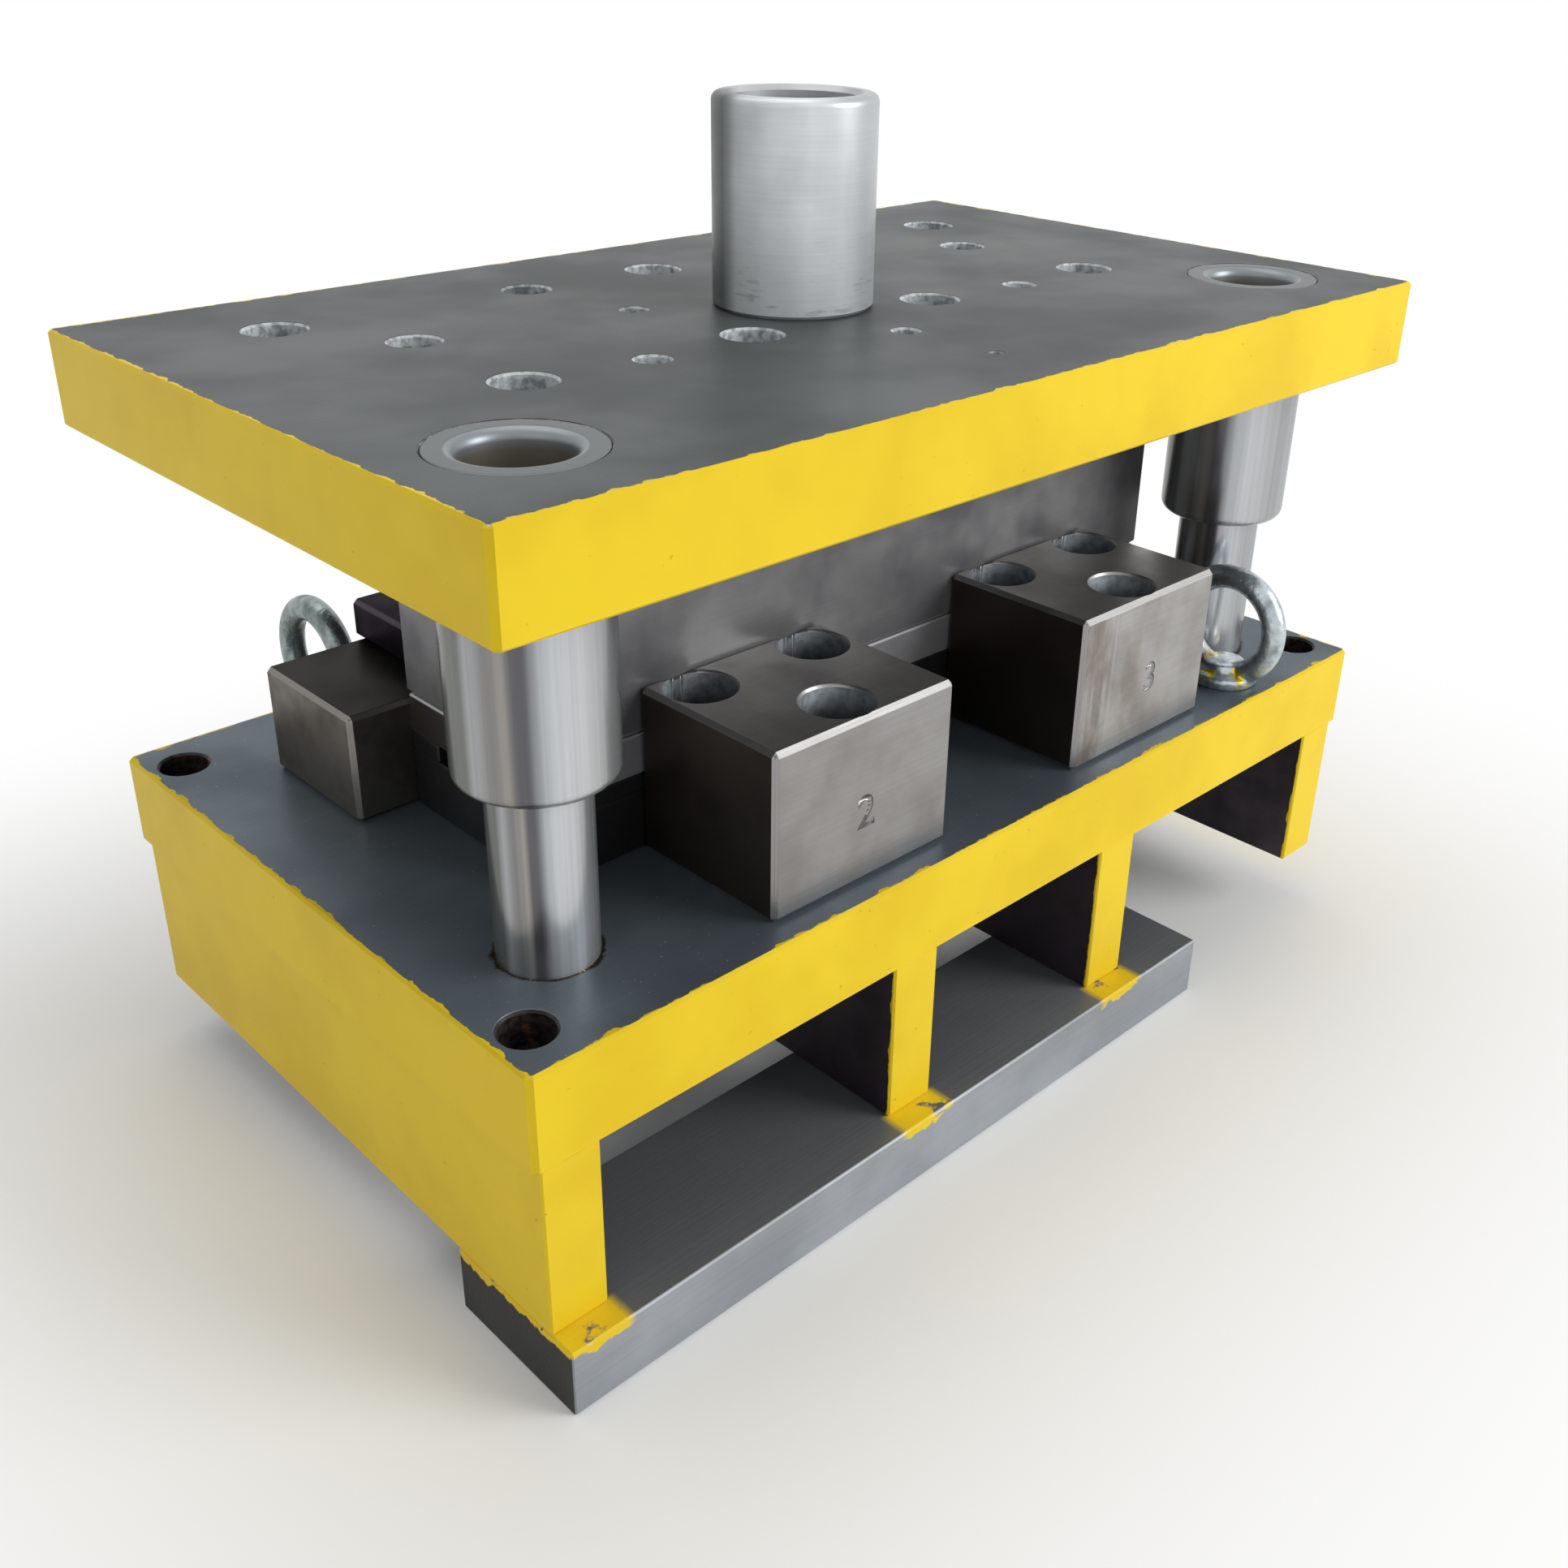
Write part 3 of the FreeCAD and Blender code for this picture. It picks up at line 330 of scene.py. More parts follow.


# Shoe of a die set: ground steel plate, satin grey with soft clouds, painted on its edges only. The brush crept a
# little over the rim. Its bores were drilled after grinding; their walls are pale with painted reflection in the
# upper shoe and dark with painted shade in the lower one, with a little rust.
def painted_shoe(node, look, light, dark, roughness, dust, bore_light, bore_dark, rust, edge):
    material, tree, place = new_material("enamelled_" + node)
    colour, gloss, lines = steel_face(tree, place, light, dark, roughness, 70.0, 0.9, "X")
    colour = stained(tree, colour, "C9CDCE", patches(tree, place, 1.6, 0.7, 0.76, 2.0), dust)
    # Bore walls: pale painted reflection in the upper shoe, dark painted shade in the lower one, with rust over
    # them.
    bore_painted_light_and_rust = speckled(tree, place, 2.2, 0.38, 0.66, 3.0, bore_light, bore_dark)
    bore_painted_light_and_rust = stained(tree, bore_painted_light_and_rust, "6B4238", patches(tree, place, 5.0, rust, rust + 0.08, 4.0))
    inward = depths(tree, place, node)
    bore = add(tree, "ShaderNodeMapRange",
               {"Value": depth_below_skin(tree, inward), "From Min": 0.1, "From Max": 0.2})
    colour = add(tree, "ShaderNodeMix", {"Factor": bore, "A": colour, "B": bore_painted_light_and_rust}, data_type="RGBA")
    if node == "lower_shoe":
        colour = oil_ring(tree, place, colour, "guide_pillar_right", 1.1, "2E261C", "A08A5E")
    else:
        colour = oil_ring(tree, place, colour, "guide_bush_right", 0.5, "1A1B1C", "333637")
    rim = add(tree, "ShaderNodeMath", {0: inward["X"], 1: inward["Y"]}, operation="MINIMUM")
    creep = add(tree, "ShaderNodeMath",
                {0: patches(tree, place, 7.0, 0.4, 0.8, 5.0), 1: look.enamel_creep / MM}, operation="MULTIPLY")
    past = add(tree, "ShaderNodeMath", {0: rim, 1: creep}, operation="SUBTRACT")
    enamel = add(tree, "ShaderNodeMapRange", {"Value": past, "From Min": 1.0, "From Max": 0.7},
                 interpolation_type="SMOOTHSTEP")
    metal = add(tree, "ShaderNodeMix", {"Factor": bore, "A": 0.5, "B": 0.0})
    colour, metal, gloss, mirror = enamelled(tree, place, look, enamel, colour, metal, gloss)
    brush = patches(tree, place, 1.6, 0.3, 0.7, 3.0, (0.15, 0.15, 1))
    height = add(tree, "ShaderNodeMix", {"Factor": enamel, "A": lines, "B": brush})
    end_material(tree, colour, metal, gloss, height, 0.012, mirror, edge)
    return material


# Riser: rolled steel bar with purple-black mill scale, painted on its ends and, on the outer two,
# on the face that shows.
def painted_riser(look):
    material, tree, place = new_material("enamelled_riser_steel")
    out = add(tree, "ShaderNodeVectorMath", {0: place}, operation="ABSOLUTE")
    out = add(tree, "ShaderNodeVectorMath", {0: out, 1: corners("riser_4")[1]}, operation="SUBTRACT")
    past_ends = add(tree, "ShaderNodeSeparateXYZ", {0: out}).outputs
    rim = add(tree, "ShaderNodeMath", {0: past_ends["X"], 1: past_ends["Y"]}, operation="MAXIMUM")
    past = add(tree, "ShaderNodeMath", {0: patches(tree, place, 7.0, 0.4, 0.8, 4.0), 1: 1.0, 2: rim},
               operation="MULTIPLY_ADD")
    enamel = add(tree, "ShaderNodeMapRange", {"Value": past, "From Min": -0.95, "From Max": -0.65},
                 interpolation_type="SMOOTHSTEP")
    colour, gloss, lines = steel_face(tree, place, "453D44", "2C262B", 0.46, 30.0, 1.0, "Y")
    colour, metal, gloss, mirror = enamelled(tree, place, look, enamel, colour, 0.5, gloss)
    end_material(tree, colour, metal, gloss, lines, 0.02, mirror)
    return material


# Support bar: milled flat bar, satin grey, with old oil on its top and sawn ends that are nearly black.
# Enamel from the risers smeared the strip before them and ran over the end.
def smeared_bar(look):
    material, tree, place = new_material("milled_bar_steel")
    colour, gloss, lines = steel_face(tree, place, "A3A8AF", "90959B", 0.5, 45.0, 1.2, "X")
    apart = add(tree, "ShaderNodeSeparateXYZ", {0: place}).outputs
    along = add(tree, "ShaderNodeMath", {0: apart["X"]}, operation="ABSOLUTE")
    across = add(tree, "ShaderNodeMath", {0: apart["Y"]}, operation="ABSOLUTE")
    low, high = corners("front_support_bar")
    end, riser_front = -low.x, -corners("riser_1")[0].y
    colour = changed(tree, colour, along, end - 0.3, end - 0.1, "1F2021")
    colour = changed(tree, colour, apart["Z"], high.z - 0.3, high.z - 0.1, "6E7173")
    near = None
    for node in RISERS:
        start, stop = corners(node)
        away = add(tree, "ShaderNodeMath", {0: apart["X"], 1: (start.x + stop.x) / 2}, operation="SUBTRACT")
        away = add(tree, "ShaderNodeMath", {0: away}, operation="ABSOLUTE")
        near = away if near is None else add(tree, "ShaderNodeMath", {0: near, 1: away}, operation="MINIMUM")
    before = add(tree, "ShaderNodeMapRange", {"Value": near, "From Min": 12.0, "From Max": 9.0})
    strip = add(tree, "ShaderNodeMapRange",
                {"Value": across, "From Min": riser_front - 2.0, "From Max": riser_front - 0.5})
    smear = add(tree, "ShaderNodeMath", {0: before, 1: strip}, operation="MULTIPLY")
    over = add(tree, "ShaderNodeMapRange", {"Value": along, "From Min": end - 3.0, "From Max": end - 0.5})
    smear = add(tree, "ShaderNodeMath", {0: smear, 1: over}, operation="MAXIMUM")
    ran = patches(tree, place, 9.0, 0.2, 0.8, 4.0, (1, 1, 0.5))
    height = add(tree, "ShaderNodeMath", {0: ran, 1: 5.0, 2: high.z - 5.6}, operation="MULTIPLY_ADD")
    above = add(tree, "ShaderNodeMath", {0: apart["Z"], 1: height}, operation="SUBTRACT")
    upper = add(tree, "ShaderNodeMapRange", {"Value": above, "From Min": 0.0, "From Max": 0.6})
    blots = patches(tree, place, 8.0, 0.34, 0.42, 5.0)
    for share in (blots, upper):
        smear = add(tree, "ShaderNodeMath", {0: smear, 1: share}, operation="MULTIPLY")
    colour, metal, gloss, mirror = enamelled(tree, place, look, smear, colour, 0.25, gloss)
    end_material(tree, colour, metal, gloss, lines, 0.03, mirror)
    return material


def painted_reflection_bands(tree, place, middle, across, splay, stops):
    """Colours of painted reflection and painted shade in upright bands round a cylinder and its twin. 0.5 is the
    side that is seen first.

    across points to the right of that side, and splay turns the bands a little apart on the two.
    """
    apart = add(tree, "ShaderNodeSeparateXYZ", {0: place}).outputs
    side = add(tree, "ShaderNodeMath", {0: apart["X"]}, operation="SIGN")
    x = add(tree, "ShaderNodeMath", {0: side, 1: -abs(middle.x), 2: apart["X"]}, operation="MULTIPLY_ADD")
    y = add(tree, "ShaderNodeMath", {0: apart["Y"], 1: middle.y}, operation="SUBTRACT")
    out = add(tree, "ShaderNodeCombineXYZ", {"X": x, "Y": y})
    shares = []
    for right, apart_by in ((Vector((*across, 0)), Vector((*splay, 0))),
                            (Vector((across[1], -across[0], 0)), Vector((splay[1], -splay[0], 0)))):
        toward = add(tree, "ShaderNodeVectorMath", {0: apart_by, 1: side, 2: right}, operation="MULTIPLY_ADD")
        share = add(tree, "ShaderNodeVectorMath", {0: out, 1: toward}, operation="DOT_PRODUCT")
        shares.append(share.outputs["Value"])
    turn = add(tree, "ShaderNodeMath", {0: shares[0], 1: shares[1]}, operation="ARCTAN2")
    spot = add(tree, "ShaderNodeMath", {0: turn, 1: 0.5 / math.pi, 2: 0.5}, operation="MULTIPLY_ADD")
    ramp = add(tree, "ShaderNodeValToRGB", {0: spot})
    for i, (at, colour) in enumerate(stops):
        element = ramp.color_ramp.elements[i] if i < 2 else ramp.color_ramp.elements.new(at)
        element.position = at
        element.color = linear(colour)
    return ramp.outputs["Color"]


# Guide pillar and bush: case-hardened steel, ground and honed to a near mirror, with broad upright bands of
# painted reflection and painted shade outside. Inside the shoe they are darker with painted shade, with a painted
# highlight just under the mouth. The bush's end was ground with the shoe and is as grey.
def honed_steel():
    material, tree, place = new_material("honed_guide_steel")
    fine = patches(tree, place, 1.5, 0.3, 0.7, 2.0, (1, 1, 0.01))
    low, high = corners("guide_pillar_right")
    # Painted reflection and painted shade in upright bands.
    tone = painted_reflection_bands(tree, place, (low + high) / 2, (0.67, -0.71), (-0.16, -0.15), (
        (0.0, "A6A8AA"), (1.0, "A6A8AA"), (0.1, "8C8E90"), (0.18, "B4B6B8"), (0.25, "55574F"),
        (0.31, "5C5E57"), (0.36, "767876"), (0.38, "A8AAAC"), (0.4, "9C9D9D"), (0.42, "858584"),
        (0.45, "A09C96"), (0.465, "6A6A6D"), (0.487, "646368"), (0.513, "B4B8BC"), (0.55, "CCCFD2"),
        (0.6, "BCBEC0"), (0.64, "A4A6A8"), (0.69, "9C9EA0"), (0.75, "55575A"), (0.8, "8E9092"),
        (0.9, "C0C2C4")))
    colour = shaded(tree, tone, fine, 0.9, 1.05)
    low, high = corners("upper_shoe")
    height = add(tree, "ShaderNodeSeparateXYZ", {0: place}).outputs["Z"]
    # Painted shade deeper inside the shoe, and a painted highlight just under the mouth.
    colour = changed(tree, colour, height, low.z, low.z + 4.0, "7C776E")
    colour = changed(tree, colour, height, high.z - 5.0, high.z - 3.0, "878D90")
    colour = changed(tree, colour, height, high.z - 0.12, high.z - 0.04, "5F6464")
    gloss = add(tree, "ShaderNodeMapRange", {"Value": height, "From Min": low.z, "From Max": low.z + 4.0,
                                             "To Min": 0.22, "To Max": 0.38})
    end_material(tree, colour, 0.6, gloss, fine, 0.004)
    return material


# Shank: turned steel, pale satin, with rings too fine to see, upright bands of painted reflection and painted
# shade round it, and a few dark handling marks low down.
def turned_steel():
    material, tree, place = new_material("turned_shank_steel")
    colour, gloss, lines = steel_face(tree, place, "FFFFFF", "F0F0F0", 0.36, 26.0, 0.7, "XY")
    # Painted reflection and painted shade in upright bands.
    tone = painted_reflection_bands(tree, place, Vector(), (0.72, -0.69), (0, 0), (
        (0.0, "C4C7CA"), (1.0, "C4C7CA"), (0.16, "CACDCF"), (0.22, "8A8E8E"), (0.26, "4A4C4E"),
        (0.34, "585B5C"), (0.362, "8E9293"), (0.38, "BEC2C3"), (0.4, "CACED0"), (0.45, "DADEE0"),
        (0.53, "EAEDEF"), (0.57, "D6DADD"), (0.61, "BBBFC2"), (0.75, "B2B5B8")))
    colour = add(tree, "ShaderNodeMix", {"Factor": 1.0, "A": tone, "B": colour}, data_type="RGBA",
                 blend_type="MULTIPLY")
    low, high = corners("upper_shoe")
    height = add(tree, "ShaderNodeSeparateXYZ", {0: place}).outputs["Z"]
    foot = add(tree, "ShaderNodeMapRange", {"Value": height, "From Min": high.z + 26, "From Max": high.z + 8})
    marks = patches(tree, place, 7.0, 0.56, 0.68, 4.0, (0.6, 0.6, 3.0))
    colour = stained(tree, colour, "6E6C68", marks, foot, 0.4)
    end_material(tree, colour, 0.35, gloss, lines, 0.002)
    return material


# Eye bolt: forged steel, zinc plated. Bluish grey and a little lumpy, with drops of enamel on one. The left one is
# given darker colours as painted shade.
def zinc_plate(look, name, light, dark, splashed):
    material, tree, place = new_material(name)
    colour, gloss, lumps = steel_face(tree, place, light, dark, 0.34, 7.0, 1.6, "")
    colour = stained(tree, colour, "56605F", patches(tree, place, 3.0, 0.6, 0.75, 4.0), 0.5)
    if splashed:
        deck = corners("lower_shoe")[1].z
        height = add(tree, "ShaderNodeSeparateXYZ", {0: place}).outputs["Z"]
        low_down = add(tree, "ShaderNodeMapRange", {"Value": height, "From Min": deck + 12, "From Max": deck + 5})
        drops = patches(tree, place, 6.0, 0.55, 0.6, 3.0)
        splash = add(tree, "ShaderNodeMath", {0: drops, 1: low_down}, operation="MULTIPLY")
        colour = add(tree, "ShaderNodeMix",
                     {"Factor": splash, "A": colour, "B": enamel_colour(tree, place, look)}, data_type="RGBA")
    end_material(tree, colour, 0.8, gloss, lumps, 0.06)
    return material


# Meshes
def link_piece(name, mesh, material, body, cad_slot, *nodes):
    """A finished piece at the origin, with its place in its mesh, that rides on a body and stands for nodes."""
    piece = bpy.data.objects.new(name, mesh)
    bpy.context.scene.collection.objects.link(piece)
    mesh.materials.clear()
    mesh.materials.append(material)
    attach(piece, body)
    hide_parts(*nodes)
    return piece


def smooth(mesh, angle=32.0):
    """Shades the curved faces smooth, and leaves the level and the wide flat ones flat."""
    mesh.shade_smooth()
    mesh.set_sharp_from_angle(angle=math.radians(angle))
    for face in mesh.polygons:
        if abs(face.normal.z) > 0.99999 or face.area > 0.0002:
            face.use_smooth = False
    return mesh


def arc(x, z, radius, start, end, steps=6):
    """Points of an arc in a profile, from a start to an end angle in degrees."""
    angles = [math.radians(start + (end - start) * i / steps) for i in range(steps + 1)]
    return [(x + radius * math.cos(a), z + radius * math.sin(a)) for a in angles]


def turned_form(mesh, profile, x, y, segments):
    """Adds a closed profile of radius and height, in millimetres, spun round an upright axis."""
    rings = []
    for radius, z in profile:
        count = segments if radius > 1e-6 else 1
        turns = [2 * math.pi * i / segments for i in range(count)]
        rings.append([mesh.verts.new(Vector((x + radius * math.cos(t), y + radius * math.sin(t), z)) * MM)
                      for t in turns])
    closed = len(rings[0]) > 1
    pairs = list(zip(rings, rings[1:])) + ([(rings[-1], rings[0])] if closed else [])
    for a, b in pairs:
        for i in range(segments):
            j = (i + 1) % segments
            ring = [a[i % len(a)], a[j % len(a)], b[j % len(b)], b[i % len(b)]]
            ring = [v for k, v in enumerate(ring) if v not in ring[:k]]
            if len(ring) > 2:
                mesh.faces.new(ring)


def ring_form(mesh, middle, radius, thickness, around=96, section=32):
    """Adds a round ring that stands upright across X, in millimetres."""
    loops = []
    for i in range(around):
        turn = 2 * math.pi * i / around
        out = Vector((0, math.cos(turn), math.sin(turn)))
        loops.append([mesh.verts.new((middle + out * (radius + thickness * math.cos(2 * math.pi * k / section))
                                      + Vector((thickness * math.sin(2 * math.pi * k / section), 0, 0))) * MM)
                      for k in range(section)])
    for i in range(around):
        a, b = loops[i], loops[(i + 1) % around]
        for k in range(section):
            j = (k + 1) % section
            mesh.faces.new((a[k], b[k], b[j], a[j]))


def coil_form(mesh, foot, rise, radius, turns, section, steps=32):
    """Adds wire of a given section wound upwards in even turns, with half a turn closed at each end."""
    rings = []
    for i in range(turns * steps + 1):
        turn = i / steps
        lift = rise * min(max((turn - 0.5) / (turns - 1), 0), 1)
        out = Vector((math.cos(2 * math.pi * turn), math.sin(2 * math.pi * turn), 0))
        rings.append([mesh.verts.new((foot + out * (radius + x) + Vector((0, 0, lift + z))) * MM)
                      for x, z in section])
    for a, b in zip(rings, rings[1:]):
        for k in range(len(section)):
            j = (k + 1) % len(section)
            mesh.faces.new((a[k], a[j], b[j], b[k]))
    mesh.faces.new(rings[0])
    mesh.faces.new(rings[-1][::-1])


def joined_form(data):
    """A mesh to work on, with the points joined that lie on one spot."""
    mesh = bmesh.new()
    mesh.from_mesh(data)
    bmesh.ops.remove_doubles(mesh, verts=mesh.verts, dist=1e-6)
    return mesh


def worked_mesh(mesh, data):
    """Puts a worked form into a mesh."""
    mesh.to_mesh(data)
    mesh.free()
    return data


def new_mesh(name, mesh):
    """A mesh from a worked form, with its faces turned outwards."""
    bmesh.ops.recalc_face_normals(mesh, faces=mesh.faces)
    return worked_mesh(mesh, bpy.data.meshes.new(name))


def turned(name, profile, x, y, segments=96):
    """A smooth mesh of a turned piece."""
    mesh = bmesh.new()
    turned_form(mesh, profile, x, y, segments)
    return smooth(new_mesh(name, mesh))


def merged_copy(node, name):
    """A copy of a CAD node's mesh with its loose triangles joined."""
    mesh = joined_form(frame["nodes"][node].data)
    bmesh.ops.dissolve_limit(mesh, angle_limit=math.radians(0.5), verts=mesh.verts, edges=mesh.edges)
    return worked_mesh(mesh, bpy.data.meshes.new(name))


def loose_object(name, data):
    """A new object in the scene: a light, the camera, the floor or a step on the way to a piece."""
    piece = bpy.data.objects.new(name, data)
    bpy.context.scene.collection.objects.link(piece)
    return piece


def evaluated_mesh(piece, name):
    """The piece's mesh with its modifiers applied, with the modifiers and the piece removed."""
    graph = bpy.context.evaluated_depsgraph_get()
    data = bpy.data.meshes.new_from_object(piece.evaluated_get(graph), depsgraph=graph)
    piece.modifiers.clear()
    data.name = name
    bpy.data.objects.remove(piece)
    return data


# Sizes and colours that a user would change
class DieLook(bpy.types.PropertyGroup):
    enamel: bpy.props.FloatVectorProperty(
        name="Enamel", description="Yellow enamel on the edges of the shoes and risers",
        size=4, min=0, max=1, default=linear("F0D02C"), subtype="COLOR")
    enamel_shade: bpy.props.FloatVectorProperty(
        name="Enamel shade", description="The enamel where it is thicker",
        size=4, min=0, max=1, default=linear("E6C427"), subtype="COLOR")
    enamel_creep: bpy.props.FloatProperty(
        name="Enamel creep", description="How far the enamel runs over the rim of a shoe",
        default=0.0018, min=0, unit="LENGTH")


class GuideSize(bpy.types.PropertyGroup):
    bush_round: bpy.props.FloatProperty(
        name="Bush round", description="Radius on the lower rim of a guide bush",
        default=0.0035, min=0, unit="LENGTH")
    rim_chamfer: bpy.props.FloatProperty(
        name="Rim chamfer", description="Chamfer on the upper rim of a guide bush",
        default=0.0002, min=0, unit="LENGTH")
    mouth_chamfer: bpy.props.FloatProperty(
        name="Mouth chamfer", description="Chamfer in the lower mouth of a guide bush",
        default=0.0014, min=0, unit="LENGTH")
    mouth_round: bpy.props.FloatProperty(
        name="Mouth round", description="Radius in the upper mouth of a guide bush",
        default=0.003, min=0, unit="LENGTH")
    oil_groove: bpy.props.FloatProperty(
        name="Oil groove", description="Width of an oil groove in a guide bush",
        default=0.003, min=0, unit="LENGTH")
    pillar_diameter: bpy.props.FloatProperty(
        name="Pillar diameter", description="Diameter of a guide pillar",
        default=0.028, min=0, unit="LENGTH")


class ShankSize(bpy.types.PropertyGroup):
    bore: bpy.props.FloatProperty(
        name="Bore", description="Diameter of the bore in the shank", default=0.038, min=0, unit="LENGTH")
    floor: bpy.props.FloatProperty(
        name="Floor", description="Height of the bore's floor over the shoe", default=0.008, min=0, unit="LENGTH")
    rim_round: bpy.props.FloatProperty(
        name="Rim round", description="Radius on the shank's upper rim", default=0.0025, min=0, unit="LENGTH")


class EyeBoltSize(bpy.types.PropertyGroup):
    hole: bpy.props.FloatProperty(
        name="Eye", description="Diameter of the eye", default=0.0274, min=0, unit="LENGTH")
    collar: bpy.props.FloatProperty(
        name="Collar", description="Diameter of the collar", default=0.025, min=0, unit="LENGTH")
    fineness: bpy.props.FloatProperty(
        name="Fineness", description="Width of a face of the forging", default=0.0005, min=0.0002, unit="LENGTH")


class ScrewSize(bpy.types.PropertyGroup):
    head_radius: bpy.props.FloatProperty(
        name="Head radius", description="Radius of a head over the screw's size", default=0.75, min=0)
    knurl: bpy.props.IntProperty(
        name="Knurl", description="Ridges round a head", default=40, min=8)
    socket_width: bpy.props.FloatProperty(
        name="Socket width", description="Width across the socket's flats over the screw's size",
        default=0.8, min=0)
    socket_depth: bpy.props.FloatProperty(
        name="Socket depth", description="Depth of the socket over the screw's size", default=0.5, min=0)


class StampSize(bpy.types.PropertyGroup):
    height: bpy.props.FloatProperty(
        name="Digit height", description="Height of a stamped digit", default=0.010, min=0, unit="LENGTH")
    boldness: bpy.props.FloatProperty(
        name="Boldness", description="How far a digit's strokes are widened on each side",
        default=0.0003, min=0, unit="LENGTH")
    depth: bpy.props.FloatProperty(
        name="Stamp depth", description="Depth of a stamped digit", default=0.0006, min=0, unit="LENGTH")
    above_deck: bpy.props.FloatProperty(
        name="Above deck", description="Height of a digit's middle over the lower shoe",
        default=0.022, min=0, unit="LENGTH")


class SpringSize(bpy.types.PropertyGroup):
    wire_width: bpy.props.FloatProperty(
        name="Wire width", description="Width of a lifter spring's flat wire",
        default=0.0013, min=0, unit="LENGTH")
    wire_height: bpy.props.FloatProperty(
        name="Wire height", description="Height of a lifter spring's flat wire",
        default=0.0015, min=0, unit="LENGTH")
    edge_round: bpy.props.FloatProperty(
        name="Edge round", description="How far the wire's edges are broken", default=0.0003, min=0, unit="LENGTH")
    turns: bpy.props.IntProperty(
        name="Turns", description="Turns of wire in a lifter spring", default=4, min=2)


class StageLook(bpy.types.PropertyGroup):
    floor: bpy.props.FloatVectorProperty(
        name="Floor", description="Colour of the floor", size=4, min=0, max=1,
        default=linear("F4F4F2"), subtype="COLOR")
    key_power: bpy.props.FloatProperty(
        name="Key light", description="Power of the key light", default=26.0, min=0, unit="POWER")
    fill_power: bpy.props.FloatProperty(
        name="Fill light", description="Power of the fill light", default=1.5, min=0, unit="POWER")
    top_power: bpy.props.FloatProperty(
        name="Top light", description="Power of the light overhead", default=7.0, min=0, unit="POWER")


# Operators, one for each piece or group of like pieces
def kept_materials(look):
    """One material for each CAD node that is shown as it is."""
    chosen = {
        # Ground shoes are satin grey. The lower one is dusty, its bores dark with painted shade, and the upper one
        # is clean, its bores pale with painted reflection.
        "lower_shoe": painted_shoe("lower_shoe", look, "747E86", "5C666E", roughness=0.42, dust=0.35,
                                   bore_light="36312F", bore_dark="181615", rust=0.6, edge="A8A8A8"),
        "upper_shoe": painted_shoe("upper_shoe", look, "575C5C", "454A4A", roughness=0.42, dust=0.0,
                                   bore_light="CDD2D5", bore_dark="8E959A", rust=0.66, edge="D4D4D4"),
        # Ground tool steel: grey with a broad haze of oil; the ends of the stripper are darkened with painted
        # shade.
        "punch_block": block_steel("ground_block_steel", "punch_block", "7F7F80", "5C5B5F", "A9AAAD",
                                   metallic=0.35, roughness=0.42, cloud=34.0),
        "stripper_plate": block_steel("ground_stripper_steel", "stripper_plate", "A4A4A6", "87858A", "B4B5B7",
                                      metallic=0.35, roughness=0.42, cloud=34.0, oil_and_painted_light="3A3632"),
        # Blackened steel is blue-black and dull, and a heat stain is a violet black with a sheen.
        "backing_plate": block_steel("blackened_backing_steel", "backing_plate", "3B3C42", "2A2A2F", "55565A"),
        "rear_guide_plate": block_steel("heat_stained_steel", "rear_guide_plate", "37323A", "262026", "4A454B",
                                        metallic=0.92, roughness=0.36, edge="B4B4B4"),
    }
    # Milled steel, warm grey at the sides, and darkened top and bottom with painted shade so that it looks nearly
    # black on top.
    for number in "14":
        node = "rear_heel_block_" + number
        chosen[node] = block_steel("milled_heel_steel_" + number, node, "7E7973", "5A534C", "86827C",
                                   painted_shade_axis="Z", oil_and_painted_light="33312E", edge="C8C8C8")
    bar, riser = smeared_bar(look), painted_riser(look)
    chosen.update({"front_support_bar": bar, "rear_support_bar": bar})
    chosen.update((node, riser) for node in RISERS)
    # Plain steels: light and dark tone, metallic, roughness, and width and direction of clouds and grain.
    for name, light, dark, metallic, roughness, cloud, grain, along, nodes in (
            # Hardened die steel keeps the blue-black skin of its heat treatment, made near black to stand as
            # painted shade under the stripper.
            ("hardened_die_steel", "2E2D2F", "201F22", 0.5, 0.42, 20.0, 0.6, "X",
             ("die_plate", "emboss_die_button", "front_stock_rail", "rear_stock_rail")),
            # Punches, pilots and lifters are ground bright, and shine.
            ("ground_punch_steel", "B4B5B6", "9A9B9D", 0.8, 0.26, 12.0, 0.5, "Z",
             ("piercing_punches", "pilot_hole_punch", "pilots", "countersink_punches", "emboss_punch",
              "slot_punches", "blanking_punch", "stock_lifter_1", "stock_lifter_2", "stock_lifter_3",
              "stock_lifter_4")),
            # Dowels are ground as bright, with an oil film that takes some of the shine.
            ("ground_dowel_steel", "B2B4B6", "989A9C", 0.6, 0.3, 12.0, 0.5, "Z", ("upper_dowels", "stack_dowels")),
            # Plain black oxide is a dull near black.
            ("black_oxide_steel", "232324", "161617", 0.4, 0.42, 8.0, 0.6, "Z",
             ("bar_screws", "stack_screws", "blanking_punch_screw")),
            # The stop posts are ground and handled, so they are a softer grey.
            ("ground_post_steel", "9A9A9C", "7C7B80", 0.6, 0.36, 20.0, 0.7, "Z",
             ("stop_post_left", "stop_post_right"))):
        material = steel(name, light, dark, metallic, roughness, cloud, grain, along)
        chosen.update((node, material) for node in nodes)
    return chosen


class STAMPING_DIE_OT_plates(bpy.types.Operator):
    """Gives the shoes, risers, bars, blocks, plates and the parts inside them their finish"""
    bl_idname = "stamping_die.plates"
    bl_label = "Plates and Blocks"

    def execute(self, context):
        for node, material in kept_materials(context.scene.die_look).items():
            mesh = frame["nodes"][node].data
            mesh.materials.clear()
            mesh.materials.append(material)
        return {"FINISHED"}


